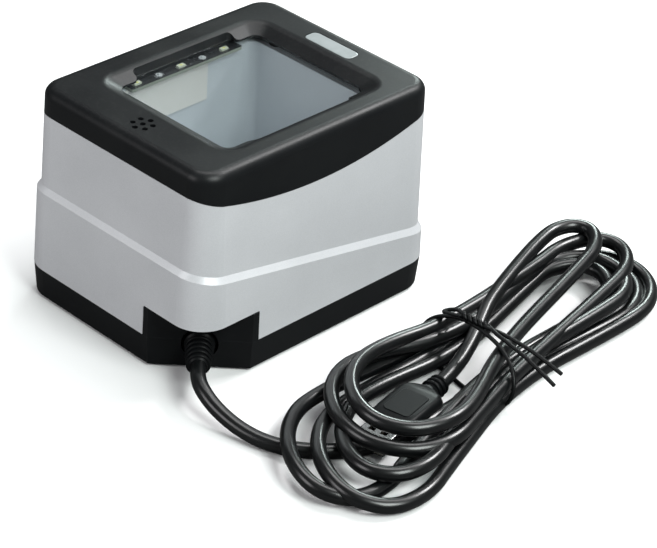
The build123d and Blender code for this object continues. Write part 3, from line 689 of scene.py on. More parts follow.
def rounded_section(
    width: float, height: float, corner: float, along: float, steps: int = 6,
) -> list[Point]:
    """Points of a rounded rectangle across a loft's axis.

    Args:
        width: Size along X.
        height: Size along Y.
        corner: Corner radius.
        along: Its place on the axis.
        steps: Steps round each corner.

    Returns:
        The points, in order.
    """
    points = []
    for quarter, (sx, sy) in enumerate(((1, 1), (-1, 1), (-1, -1), (1, -1))):
        for k in range(steps + 1):
            angle = math.pi / 2 * (quarter + k / steps)
            x = sx * (width / 2 - corner) + corner * math.cos(angle)
            y = sy * (height / 2 - corner) + corner * math.sin(angle)
            points.append((x, y, along))
    return points


def smooth_line(name: str, points: Sequence[Point], radius: float, material: Material) -> Piece:
    """A round line through space, as an open NURBS curve.

    Args:
        name: Name of the piece.
        points: Its control points.
        radius: Half its thickness.
        material: Its material.

    Returns:
        The curve object.
    """
    curve = bpy.data.curves.new(name, "CURVE")
    curve.dimensions = "3D"
    curve.bevel_depth = radius
    curve.bevel_resolution = LINE_STEPS[0]
    curve.use_fill_caps = True
    spline = curve.splines.new("NURBS")
    spline.points.add(len(points) - 1)
    for point, place in zip(spline.points, points):
        point.co = (*place, 1.0)
    spline.order_u = 3
    spline.use_endpoint_u = True
    spline.resolution_u = LINE_STEPS[1]
    curve.materials.append(material)
    return link(name, curve)


def dress(node: str, material: Material) -> None:
    """Gives a CAD node its material.

    Args:
        node: Name of the node.
        material: The material.
    """
    mesh = frame["nodes"][node].data
    mesh.materials.clear()
    mesh.materials.append(material)


def place_piece(piece: Piece, slot: str, *stands_for: str) -> Piece:
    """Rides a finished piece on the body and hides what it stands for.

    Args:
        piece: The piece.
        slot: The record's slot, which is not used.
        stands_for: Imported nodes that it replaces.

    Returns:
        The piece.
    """
    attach(piece, BODY)
    if stands_for:
        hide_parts(*stands_for)
    log.info("%s: %d faces", piece.name, len(piece.data.polygons) if piece.type == "MESH" else 0)
    return piece


# ------------------------------------------------------------------ repeated small parts
class Part(Enum):
    """Shapes that Geometry Nodes repeat over places."""

    SCREW = "screw"
    DISC = "disc"
    PAD = "pad"
    RIBS = "ribs"


class Repeats:
    """Geometry Nodes trees that put one small shape at many places."""

    ROUND_SIDES, RING_SIDES, BEAD_SIDES = 28, 40, 12
    RIM_SHARE, CROWN_SHARE, BLADE_SHARE = 0.6, 0.72, 0.24
    DISC_TOP_SHARE = 0.9
    SHARP = 40.0
    SIZES = {
        Part.SCREW: ("Head Radius", "Head Height", "Shank Radius", "Shank Length", "Recess", "Upwards"),
        Part.DISC: ("Radius", "Height"),
        Part.PAD: ("Width", "Length", "Height"),
        Part.RIBS: ("Pitch", "First Radius", "Last Radius", "Thickness", "Count"),
    }

    def __init__(self) -> None:
        """Builds one tree for each shape."""
        makers: dict[Part, Callable] = {
            Part.SCREW: self._screw, Part.DISC: self._disc, Part.PAD: self._pad, Part.RIBS: self._ribs,
        }
        self.trees = {part: self._tree(part, maker) for part, maker in makers.items()}

    def _tree(self, part: Part, maker: Callable) -> bpy.types.NodeTree:
        """Starts a tree with its named inputs, and ends it in real, dressed mesh.

        Args:
            part: The shape, which says what inputs there are.
            maker: Adds the shape's nodes and returns the geometry that holds its instances.

        Returns:
            The finished tree.
        """
        tree = bpy.data.node_groups.new(f"repeat_{part.value}", "GeometryNodeTree")
        tree.interface.new_socket("Places", in_out="INPUT", socket_type="NodeSocketGeometry")
        for label in self.SIZES[part]:
            tree.interface.new_socket(label, in_out="INPUT", socket_type=NUMBER)
        tree.interface.new_socket("Finish", in_out="INPUT", socket_type="NodeSocketMaterial")
        tree.interface.new_socket("Result", in_out="OUTPUT", socket_type="NodeSocketGeometry")
        graph = Graph(tree)
        given = graph.add("NodeGroupInput").outputs
        real = graph.add("GeometryNodeRealizeInstances", {0: maker(graph, given)}).outputs[0]
        dressed = graph.add("GeometryNodeSetMaterial", {"Geometry": real, "Material": given["Finish"]})
        graph.add("NodeGroupOutput", {0: dressed.outputs[0]})
        return tree

    @staticmethod
    def _at_places(graph: Graph, given: object, shape: Socket) -> Socket:
        """Puts the shape on every given point."""
        placed = {"Points": given["Places"], "Instance": shape}
        return graph.add("GeometryNodeInstanceOnPoints", placed).outputs[0]

    @staticmethod
    def _vector(graph: Graph, x: object, y: object, z: object) -> Socket:
        """A vector from three numbers."""
        return graph.add("ShaderNodeCombineXYZ", {0: x, 1: y, 2: z}).outputs[0]

    def _moved(self, graph: Graph, shape: object, z: object) -> Socket:
        """The shape moved along Z."""
        move = {"Geometry": shape, "Translation": self._vector(graph, 0.0, 0.0, z)}
        return graph.add("GeometryNodeTransform", move).outputs[0]

    def _round(self, graph: Graph, low: object, high: object, depth: object) -> Socket:
        """A cone or cylinder that stands on the origin."""
        sizes = {"Vertices": self.ROUND_SIDES, "Radius Top": high, "Radius Bottom": low, "Depth": depth}
        return graph.add("GeometryNodeMeshCone", sizes).outputs["Mesh"]

    def _screw(self, graph: Graph, given: object) -> Socket:
        """Pan head with a cross recess on a plain shank; the point given is where the head bears.

        Args:
            graph: The tree's graph.
            given: The tree's inputs.

        Returns:
            The screws.
        """
        radius, height = given["Head Radius"], given["Head Height"]
        rim = graph.math("MULTIPLY", height, self.RIM_SHARE)
        crown = graph.math("SUBTRACT", height, rim)
        flat = graph.math("MULTIPLY", radius, self.CROWN_SHARE)
        skirt = self._round(graph, radius, radius, rim)
        top = self._moved(graph, self._round(graph, radius, flat, crown), rim)
        solid = graph.add("GeometryNodeMeshBoolean", operation="UNION")
        for piece in (skirt, top):
            graph.tree.links.new(piece, solid.inputs["Mesh 2"])
        slot_wide, slot_thin = given["Recess"], graph.math("MULTIPLY", given["Recess"], self.BLADE_SHARE)
        cross = graph.add("GeometryNodeMeshBoolean", operation="DIFFERENCE")
        graph.tree.links.new(solid.outputs[0], cross.inputs["Mesh 1"])
        for wide, thin in ((slot_wide, slot_thin), (slot_thin, slot_wide)):
            blade = graph.add("GeometryNodeMeshCube", {"Size": self._vector(graph, wide, thin, height)})
            graph.tree.links.new(self._moved(graph, blade.outputs[0], height), cross.inputs["Mesh 2"])
        thin, length = given["Shank Radius"], given["Shank Length"]
        below = graph.math("MULTIPLY", length, -1.0)
        shank = self._moved(graph, self._round(graph, thin, thin, length), below)
        whole = graph.add("GeometryNodeJoinGeometry")
        for piece in (shank, cross.outputs[0]):
            graph.tree.links.new(piece, whole.inputs[0])
        tilt = graph.math("MULTIPLY", graph.math("SUBTRACT", 1.0, given["Upwards"]), math.pi)
        turned = {"Geometry": whole.outputs[0], "Rotation": self._vector(graph, tilt, 0.0, 0.0)}
        return self._at_places(graph, given, graph.add("GeometryNodeTransform", turned).outputs[0])

    def _disc(self, graph: Graph, given: object) -> Socket:
        """Low round disc with a chamfered top."""
        narrow = graph.math("MULTIPLY", given["Radius"], self.DISC_TOP_SHARE)
        return self._at_places(graph, given, self._round(graph, given["Radius"], narrow, given["Height"]))

    def _pad(self, graph: Graph, given: object) -> Socket:
        """Small flat block that stands on its point.

        Args:
            graph: The tree's graph.
            given: The tree's inputs.

        Returns:
            The blocks.
        """
        size = self._vector(graph, given["Width"], given["Length"], given["Height"])
        block = graph.add("GeometryNodeMeshCube", {"Size": size}).outputs[0]
        raised = self._moved(graph, block, graph.math("DIVIDE", given["Height"], 2.0))
        return self._at_places(graph, given, raised)

    def _ribs(self, graph: Graph, given: object) -> Socket:
        """Rings along Z, each a little smaller than the one before.

        Args:
            graph: The tree's graph.
            given: The tree's inputs.

        Returns:
            The rings.
        """
        last = graph.math("SUBTRACT", given["Count"], 1.0)
        along = graph.math("DIVIDE", graph.add("GeometryNodeInputIndex").outputs[0], last)
        ratio = graph.math("DIVIDE", given["Last Radius"], given["First Radius"])
        size = graph.span(along, 0.0, 1.0, 1.0, ratio)
        count = graph.add("FunctionNodeFloatToInt", {0: given["Count"]}).outputs[0]
        offset = self._vector(graph, 0.0, 0.0, given["Pitch"])
        line = graph.add("GeometryNodeMeshLine", {"Count": count, "Offset": offset}).outputs[0]
        half = graph.math("DIVIDE", given["Thickness"], 2.0)
        ring, bead = (
            graph.add("GeometryNodeCurvePrimitiveCircle", {"Resolution": sides, "Radius": radius})
            for sides, radius in ((self.RING_SIDES, given["First Radius"]), (self.BEAD_SIDES, half))
        )
        round_bead = {0: ring.outputs["Curve"], 1: bead.outputs["Curve"]}
        rib = graph.add("GeometryNodeCurveToMesh", round_bead).outputs[0]
        placed = {"Points": line, "Instance": rib, "Scale": self._vector(graph, size, size, 1.0)}
        return graph.add("GeometryNodeInstanceOnPoints", placed).outputs[0]

    def make(
        self, part: Part, name: str, places: Sequence[Point], finish: Material, **sizes: float,
    ) -> Piece:
        """Runs one tree and keeps its result as a plain mesh.

        Args:
            part: The shape to repeat.
            name: Name of the piece.
            places: Where it goes.
            finish: Its material.
            sizes: The tree's inputs, with an underscore for each space.

        Returns:
            The mesh object.
        """
        points = bpy.data.meshes.new(name)
        points.from_pydata(places, [], [])
        holder = link(name, points)
        modifier = holder.modifiers.new("repeat", "NODES")
        tree = self.trees[part]
        modifier.node_group = tree
        values = {label.replace("_", " "): value for label, value in sizes.items()} | {"Finish": finish}
        for item in tree.interface.items_tree:
            if item.in_out == "INPUT" and item.name in values:
                modifier[item.identifier] = values[item.name]
        made = baked(holder)
        shade(made.data, self.SHARP)
        return made


# ------------------------------------------------------------------ the cable
@dataclass(frozen=True)
class Bight:
    """End loop of a turn: part of an ellipse with its own size, lean and heights, in millimetres.

    Its first and last points have already left the strands' height by a share of the way to the
    loop's own height, and each point towards its middle goes further.
    """

    RISE_START, RISE_STEP = 0.45, 0.4

    x: float
    y: float
    half_width: float
    half_length: float
    lean: float
    height_in: float
    height_out: float

    def points(self, angles: Sequence[float], start: float, end: float) -> list[Point]:
        """Control points round the loop.

        Args:
            angles: Degrees round the ellipse.
            start: Height of the strand that comes in.
            end: Height of the strand that goes out.

        Returns:
            The points, in metres.
        """
        lean, middle = math.radians(self.lean), (len(angles) - 1) / 2
        made = []
        for k, angle in enumerate(angles):
            u = self.half_width * math.cos(math.radians(angle))
            v = self.half_length * math.sin(math.radians(angle))
            x = self.x + u * math.cos(lean) - v * math.sin(lean)
            y = self.y + u * math.sin(lean) + v * math.cos(lean)
            risen = min(1.0, self.RISE_START + self.RISE_STEP * (middle - abs(k - middle)))
            share = min(1.0, max(0.0, (k - middle + 1) / 2))
            height = self.height_in + (self.height_out - self.height_in) * share
            tied = start if k <= middle else end
            made.append((x * MM, y * MM, (tied + (height - tied) * risen) * MM))
        return made


@dataclass(frozen=True)
class Cable:
    """The lead from the outlet and the hank of turns, one cord from the relief to the plug.

    The lead, the run under the hank and the drop to the plug are control points in metres. Right and
    left are where each turn passes the waist: its X and its height, in millimetres.
    """

    thickness: float = 5.2 * MM
    length: float = 2.07
    waist_y: float = 27.0
    head_angles: tuple[float, ...] = (-12, 28, 62, 92, 125, 165, 200)
    foot_angles: tuple[float, ...] = (140, 178, 215, 252, 290, 325, 355)
    lead: tuple[Point, ...] = (
        (0.0419, -0.0533, 0.0103),
        (0.0460, -0.0574, 0.0103),
        (0.0514, -0.0602, 0.0091),
        (0.0594, -0.0613, 0.0064),
        (0.0696, -0.0606, 0.0039),
        (0.0802, -0.0580, 0.0027),
    )
    under: tuple[Point, ...] = (
        (0.0910, -0.0515, 0.0027),
        (0.1010, -0.0390, 0.0027),
        (0.1055, -0.0200, 0.0027),
        (0.1045, 0.0040, 0.0028),
    )
    heads: tuple[Bight, ...] = (
        Bight(88.5, 84.5, 19.0, 25.0, 0, 3.0, 4.0),
        Bight(88.8, 87.0, 21.5, 28.0, -3, 3.0, 5.0),
        Bight(86.6, 80.5, 13.5, 17.5, 6, 7.5, 8.0),
        Bight(87.8, 83.5, 16.5, 20.5, 2, 8.0, 9.0),
        Bight(84.0, 90.5, 13.5, 23.0, 8, 10.0, 11.5),
        Bight(75.6, 89.5, 10.2, 17.5, 14, 15.5, 15.5),
    )
    feet: tuple[Bight, ...] = (
        Bight(106.5, -33.0, 21.5, 31.5, 35, 8.0, 3.0),
        Bight(96.5, -38.5, 20.0, 31.5, 35, 8.0, 3.0),
        Bight(104.0, -24.0, 18.0, 29.0, 33, 8.0, 8.0),
        Bight(96.5, -13.5, 24.5, 30.0, 35, 11.0, 9.0),
        Bight(97.0, -9.0, 21.0, 28.5, 27, 15.5, 14.0),
    )
    right: tuple[tuple[float, float], ...] = (
        (103.0, 3.0), (108.2, 3.0), (97.8, 3.0), (105.6, 8.2), (109.5, 8.6), (101.8, 13.4),
    )
    left: tuple[tuple[float, float], ...] = (
        (79.7, 3.0), (74.5, 3.0), (84.9, 3.2), (82.3, 8.2), (77.0, 10.5),
    )
    drop_height: float = 12.0
    drop: tuple[Point, ...] = (
        (0.0770, 0.0505, 0.0115),
        (0.0822, 0.0400, 0.0090),
        (0.0870, 0.0298, 0.0066),
        (0.0912, 0.0190, 0.0048),
        (0.0940, 0.0077, 0.0042),
    )

    def route(self) -> list[Point]:
        """Control points from the relief, through every turn, to the plug.

        Returns:
            The points, in metres.
        """
        points = [*self.lead, *self.under]
        for k, (x, height) in enumerate(self.right):
            points.append((x * MM, self.waist_y * MM, height * MM))
            if k == len(self.feet):
                points += self.heads[k].points(self.head_angles, height, self.drop_height)[:-1]
                break
            left_x, left_height = self.left[k]
            points += self.heads[k].points(self.head_angles, height, left_height)
            points.append((left_x * MM, self.waist_y * MM, left_height * MM))
            points += self.feet[k].points(self.foot_angles, left_height, self.right[k + 1][1])
        return [*points, *self.drop]

    def build(self, palette: Palette) -> Piece:
        """The cable as one open curve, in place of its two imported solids."""
        cord = smooth_line("cable", self.route(), self.thickness / 2, palette["cable_jacket"])
        return place_piece(cord, "cable_jacket", "cable_lead", "cable_hank")


@dataclass(frozen=True)
class Relief:
    """Ribbed strain relief in the cut corner, drawn along the outlet's axis, in metres.

    The shoulder is measured out from the wall: where the root ends, is rounded off and meets the core.
    The tip is measured back from the end: where the core stops narrowing, and where it is rounded off.
    """

    reach: float = 13.0 * MM
    inside: float = 5.3 * MM
    collar_radius: float = 7.0 * MM
    collar: float = 2.0 * MM
    root_radius: float = 5.2 * MM
    core_radius: float = 4.1 * MM
    tip_radius: float = 3.3 * MM
    shoulder: tuple[float, float, float] = (0.6 * MM, 1.2 * MM, 1.5 * MM)
    tip: tuple[float, float] = (1.6 * MM, 0.5 * MM)
    round_off: float = 0.5 * MM
    rib_count: int = 5
    rib_start: float = 2.4 * MM
    rib_pitch: float = 2.35 * MM
    rib_radii: tuple[float, float] = (4.35 * MM, 3.6 * MM)
    rib: float = 1.3 * MM

    def place(self, exit_point: Point) -> Matrix:
        """Matrix at the wall, with Z along the cable's way out.

        Args:
            exit_point: Where the cable leaves the tip.

        Returns:
            The matrix.
        """
        out = Vector((1.0, -1.0, 0.0)).normalized()
        side = Vector((1.0, 1.0, 0.0)).normalized()
        wall = Vector(exit_point) - out * self.reach
        columns = Matrix((side, out.cross(side), out)).transposed().to_4x4()
        return Matrix.Translation(wall) @ columns

    def build(self, palette: Palette, repeats: Repeats, exit_point: Point) -> Piece:
        """The relief: a collar behind the wall, a tapered core and its rings.

        Args:
            palette: The finishes.
            repeats: The Geometry Nodes trees.
            exit_point: Where the cable leaves the tip.

        Returns:
            The joined piece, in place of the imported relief.
        """
        place, back = self.place(exit_point), -self.inside - self.collar
        root_end, rounded, core_start = self.shoulder
        profile = [
            (back, 0.0),
            (back, self.collar_radius),
            (-self.inside, self.collar_radius),
            (-self.inside, self.root_radius),
            (root_end, self.root_radius),
            (rounded, self.root_radius - self.round_off),
            (core_start, self.core_radius),
            *((self.reach - distance, self.tip_radius) for distance in self.tip),
            (self.reach, self.tip_radius - self.round_off),
            (self.reach, 0.0),
        ]
        core = object_from("relief_core", revolve(profile, place), palette["cable_rubber"])
        rings = repeats.make(
            Part.RIBS, "relief_rings", [ORIGIN], palette["cable_rubber"], Pitch=self.rib_pitch,
            First_Radius=self.rib_radii[0], Last_Radius=self.rib_radii[1], Thickness=self.rib,
            Count=float(self.rib_count),
        )
        rings.data.transform(place @ Matrix.Translation((0.0, 0.0, self.rib_start)))
        whole = join("strain_relief_ribbed", [core, rings])
        return place_piece(whole, "cable_rubber", "strain_relief")


@dataclass(frozen=True)
class Plug:
    """USB plug that the cable ends in, drawn along its own axis, in metres.

    The panel and the shell's windows are width, length and corner radius. A panel step is how much
    smaller the panel is there, and how far it stands off the grip.
    """

    turn: float = math.radians(11.0)
    neck: float = 9.0 * MM
    neck_radius: float = 3.05 * MM
    grip: float = 23.0 * MM
    width: float = 16.6 * MM
    height: float = 8.4 * MM
    ring_start: float = 1.2 * MM
    ring_pitch: float = 2.3 * MM
    ring_thickness: float = 1.25 * MM
    ring_proud: tuple[float, float] = (0.05 * MM, 0.3 * MM)
    ring_count: int = 3
    panel: tuple[float, float, float] = (10.2 * MM, 14.0 * MM, 1.6 * MM)
    panel_middle: float = 13.0 * MM
    panel_steps: tuple[tuple[float, float], ...] = (
        (0.0, -0.4 * MM), (0.0, 0.02 * MM), (0.5 * MM, 0.24 * MM),
    )
    shell: float = 12.0 * MM
    shell_width: float = 12.0 * MM
    shell_height: float = 4.5 * MM
    shell_corner: float = 0.5 * MM
    wall: float = 0.3 * MM
    window: tuple[float, float, float] = (2.5 * MM, 2.0 * MM, 0.15 * MM)
    window_places: tuple[float, float] = (-2.25 * MM, 2.25 * MM)
    window_reach: float = 6.2 * MM
    overcut: float = 1.0 * MM

    def place(self, start: Point) -> Matrix:
        """Matrix at the cable's end, with Z towards the nose and Y up.

        Args:
            start: Where the cable enters.

        Returns:
            The matrix.
        """
        along = Vector((math.sin(self.turn), -math.cos(self.turn), 0.0))
        side = Vector((math.cos(self.turn), math.sin(self.turn), 0.0))
        return Matrix.Translation(start) @ Matrix((side, Vector((0, 0, 1)), along)).transposed().to_4x4()

    def build(self, palette: Palette, repeats: Repeats, start: Point) -> list[Piece]:
        """The overmould with its rings and panels, and the pierced metal shell.

        Args:
            palette: The finishes.
            repeats: The Geometry Nodes trees.
            start: Where the cable enters.

        Returns:
            The two pieces.
        """
        place = self.place(start)
        return [self._overmould(palette, repeats, place), self._shell(palette, place)]

    def _overmould(self, palette: Palette, repeats: Repeats, place: Matrix) -> Piece:
        """Soft body of the plug: a ringed neck that swells into a flat grip.

        Args:
            palette: The finishes.
            repeats: The Geometry Nodes trees.
            place: Matrix at the cable's end.

        Returns:
            The joined piece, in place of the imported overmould.
        """
        neck, width, height = self.neck, self.width, self.height
        round_neck = 2 * self.neck_radius
        nose = neck + self.grip
        # Each row is a distance along the axis, and the width, height and corner radius there.
        profile = [
            (0.0, round_neck - 0.6 * MM, round_neck - 0.6 * MM, self.neck_radius - 0.4 * MM),
            (0.5 * MM, round_neck, round_neck, self.neck_radius - 0.02 * MM),
            (neck - 1.5 * MM, round_neck + 0.4 * MM, round_neck + 0.3 * MM, self.neck_radius),
            (neck - 0.4 * MM, 9.4 * MM, 6.7 * MM, 3.1 * MM),
            (neck + 0.8 * MM, 13.2 * MM, 7.3 * MM, 3.2 * MM),
            (neck + 2.6 * MM, width - 0.6 * MM, height - 0.25 * MM, 2.8 * MM),
            (neck + 4.5 * MM, width, height, 2.4 * MM),
            (nose - 5.0 * MM, width - 0.5 * MM, height, 2.2 * MM),
            (nose - 1.0 * MM, width - 0.8 * MM, height - 0.1 * MM, 2.1 * MM),
            (nose - 0.25 * MM, width - 1.2 * MM, height - 0.5 * MM, 2.0 * MM),
            (nose, width - 2.2 * MM, height - 1.4 * MM, 1.8 * MM),
        ]
        sections = [rounded_section(wide, tall, corner, along) for along, wide, tall, corner in profile]
        body = object_from("plug_body", loft(sections, place), palette["cable_rubber"], 50.0)
        first, last = (self.neck_radius + proud for proud in self.ring_proud)
        rings = repeats.make(
            Part.RIBS, "plug_rings", [ORIGIN], palette["cable_rubber"], Pitch=self.ring_pitch,
            First_Radius=first, Last_Radius=last, Thickness=self.ring_thickness,
            Count=float(self.ring_count),
        )
        rings.data.transform(place @ Matrix.Translation((0.0, 0.0, self.ring_start)))
        parts = [body, rings]
        across, along, corner = self.panel
        plate = [
            rounded_section(across - shrink, along - shrink, corner, lift)
            for shrink, lift in self.panel_steps
        ]
        for side in (1.0, -1.0):
            level = Matrix.Translation((0.0, side * height / 2, neck + self.panel_middle))
            facing = Matrix.Rotation(-side * math.pi / 2, 4, "X")
            panel = loft(plate, place @ level @ facing)
            parts.append(object_from("plug_panel", panel, palette["cable_rubber"], 12.0))
        return place_piece(join("plug_grip", parts), "cable_rubber", "plug_overmould")

    def _shell(self, palette: Palette, place: Matrix) -> Piece:
        """Folded metal shell, open at the nose, with two square windows above and below.

        Args:
            palette: The finishes.
            place: Matrix at the cable's end.

        Returns:
            The shell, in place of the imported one.
        """
        # The plated finish has painted shade in its colour, darker than bare nickel.
        steel = palette["plated_metal"]
        start = self.neck + self.grip
        end = start + self.shell
        wide, tall, wall = self.shell_width, self.shell_height, self.wall
        outer = [rounded_section(wide, tall, self.shell_corner, along) for along in (start, end)]
        inner = [
            rounded_section(wide - 2 * wall, tall - 2 * wall, self.shell_corner / 2, along)
            for along in (start - self.overcut, end + self.overcut)
        ]
        hole = [rounded_section(*self.window, along) for along in (-tall, tall)]
        shell = object_from("plug_metal_shell", loft(outer, place), steel)
        cutters = [object_from("cut", loft(inner, place), steel)]
        upright = Matrix.Rotation(math.pi / 2, 4, "X")
        for x in self.window_places:
            level = Matrix.Translation((x, 0.0, start + self.window_reach))
            cutters.append(object_from("cut", loft(hole, place @ level @ upright), steel))
        for cutter in cutters:
            modifier = shell.modifiers.new("cut", "BOOLEAN")
            modifier.operation, modifier.object, modifier.solver = "DIFFERENCE", cutter, "EXACT"
        made = baked(shell)
        for cutter in cutters:
            bpy.data.objects.remove(cutter)
        shade(made.data, 30.0)
        return place_piece(made, "plated_metal", "plug_shell")


@dataclass(frozen=True)
class Tie:
    """Coated wire round the waist of the hank, twisted and left with two long tails, in millimetres."""

    radius: float = 0.72
    band: tuple[Point, ...] = (
        (98, 15.5, 0.9), (86, 17.5, 0.9), (75, 21, 0.9), (70.6, 23, 4), (70.8, 24, 9.5), (75.5, 25, 14.2),
        (82, 26.2, 16.6), (88, 26.8, 17.2), (96, 25.5, 17.6), (105, 23.5, 17.2), (112.5, 21, 14.4),
        (116.6, 18.2, 9.4), (116.4, 16.4, 4), (112, 15.6, 0.9), (100, 15.2, 0.9),
    )
    eye: tuple[Point, ...] = (
        (88, 26.6, 18.2), (83.5, 28.2, 17.8), (79.5, 30.4, 16.4), (75.8, 30.2, 14.6), (75.2, 27.6, 14.6),
        (79.2, 26.0, 16.4), (85, 26.0, 18.2),
    )
    twist_start: Point = (84.5, 26.5, 18.6)
    twist_end: Point = (95.5, 27.2, 18.9)
    twist_radius: float = 0.8
    half_turns: int = 5
    steps_per_half_turn: int = 4
    tails: tuple[tuple[Point, ...], ...] = (
        ((99.5, 27.8, 18.8), (106, 28.8, 18.3), (116, 29.6, 17.2), (126.5, 29.2, 15.4)),
        ((99.5, 26.2, 19.0), (106, 25.6, 18.6), (117, 24.6, 17.4), (129.0, 22.6, 15.2)),
    )

    def _strand(self, phase: float, tail: Sequence[Point]) -> list[Point]:
        """One of the two twisted strands, and the tail that it ends in.

        Args:
            phase: Angle that the strand starts at.
            tail: Points of its tail.

        Returns:
            Its control points, in millimetres.
        """
        start, end = Vector(self.twist_start), Vector(self.twist_end)
        steps = self.steps_per_half_turn * self.half_turns
        points = []
        for k in range(steps + 1):
            angle = phase + math.pi * self.half_turns * k / steps
            off = Vector((0.0, math.cos(angle), math.sin(angle))) * self.twist_radius
            points.append(tuple(start.lerp(end, k / steps) + off))
        return points + list(tail)

    def build(self, palette: Palette) -> Piece:
        """The tie as one mesh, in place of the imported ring.

        Args:
            palette: The finishes.

        Returns:
            The piece.
        """
        strands = [self._strand(math.pi * k, tail) for k, tail in enumerate(self.tails)]
        parts = []
        for line in (self.band, self.eye, *strands):
            points = [(x * MM, y * MM, z * MM) for x, y, z in line]
            parts.append(baked(smooth_line("tie_line", points, self.radius * MM, palette["tie_coating"])))
        wire = join("wire_tie", parts)
        wire.data.shade_smooth()
        return place_piece(wire, "tie_coating", "twist_tie")


# ------------------------------------------------------------------ inside the window
@dataclass(frozen=True)
class LightParts:
    """Small parts on the lamp boards that show through the window."""

    phosphor_share: float = 0.36
    phosphor_height: float = 0.06 * MM
    pad: tuple[float, float, float] = (1.6 * MM, 0.7 * MM, 0.12 * MM)
    pad_offset: float = 0.25 * MM

    def build(self, palette: Palette, repeats: Repeats) -> list[Piece]:
        """Phosphor discs on the lamps, and solder at the ends of the lamps and domes.

        Args:
            palette: The finishes.
            repeats: The Geometry Nodes trees.

        Returns:
            The pieces.
        """
        made = []
        for side in ("left", "right"):
            lamps = island_boxes(f"illumination_leds_{side}")
            domes = island_boxes(f"aiming_leds_{side}")
            tops = [((low.x + high.x) / 2, (low.y + high.y) / 2, high.z) for low, high in lamps]
            width = min(lamps[0][1].x - lamps[0][0].x, lamps[0][1].y - lamps[0][0].y)
            disc = repeats.make(
                Part.DISC, f"phosphor_{side}", tops, palette["phosphor"],
                Radius=self.phosphor_share * width, Height=self.phosphor_height,
            )
            made.append(place_piece(disc, "led_package"))
            pads = []
            for low, high in lamps + domes:
                for y in (low.y - self.pad_offset, high.y + self.pad_offset):
                    pads.append(((low.x + high.x) / 2, y, low.z))
            solder = repeats.make(
                Part.PAD, f"solder_{side}", pads, palette["solder"],
                Width=self.pad[0], Length=self.pad[1], Height=self.pad[2],
            )
            made.append(place_piece(solder, "plated_metal"))
        return made


@dataclass(frozen=True)
class ScrewSet:
    """One kind of screw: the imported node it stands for, its sizes, and whether its head is on top."""

    node: str
    head_height: float
    shank_radius: float
    recess_share: float
    upwards: bool

    def build(self, palette: Palette, repeats: Repeats) -> Piece:
        """Cross-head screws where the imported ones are.

        Args:
            palette: The finishes.
            repeats: The Geometry Nodes trees.

        Returns:
            The piece.
        """
        boxes = island_boxes(self.node)
        radius = (boxes[0][1].x - boxes[0][0].x) / 2
        seats = []
        for low, high in boxes:
            seat = high.z - self.head_height if self.upwards else low.z + self.head_height
            seats.append(((low.x + high.x) / 2, (low.y + high.y) / 2, seat))
        length = boxes[0][1].z - boxes[0][0].z - self.head_height
        made = repeats.make(
            Part.SCREW, f"{self.node}_crossed", seats, palette["screw_steel"], Head_Radius=radius,
            Head_Height=self.head_height, Shank_Radius=self.shank_radius, Shank_Length=length,
            Recess=radius * self.recess_share, Upwards=float(self.upwards),
        )
        return place_piece(made, "screw_steel", self.node)


SCREW_SETS = (
    ScrewSet("base_screws", 2.4 * MM, 1.5 * MM, 1.1, False),
    ScrewSet("case_screws", 2.0 * MM, 1.5 * MM, 1.1, False),
    ScrewSet("chamber_screws", 1.6 * MM, 1.0 * MM, 1.1, False),
    ScrewSet("led_board_screws", 0.8 * MM, 0.8 * MM, 1.1, True),
    ScrewSet("main_board_screws", 1.4 * MM, 1.0 * MM, 1.1, True),
)


# ------------------------------------------------------------------ studio
@dataclass(frozen=True)
class Lamp:
    """One soft box: where it stands, what it faces, its size and power."""

    name: str
    place: Point
    target: Point
    size: tuple[float, float]
    power: float
    colour: Colour = (1.0, 1.0, 1.0)

    def build(self) -> None:
        """Adds the light."""
        data = bpy.data.lights.new(self.name, "AREA")
        data.shape = "RECTANGLE"
        data.size, data.size_y = self.size
        data.energy = self.power
        data.color = self.colour
        lamp = bpy.data.objects.new(self.name, data)
        bpy.context.scene.collection.objects.link(lamp)
        lamp.location = self.place
        lamp.visible_camera = False
        lamp.rotation_euler = (Vector(self.target) - Vector(self.place)).to_track_quat("-Z", "Y").to_euler()


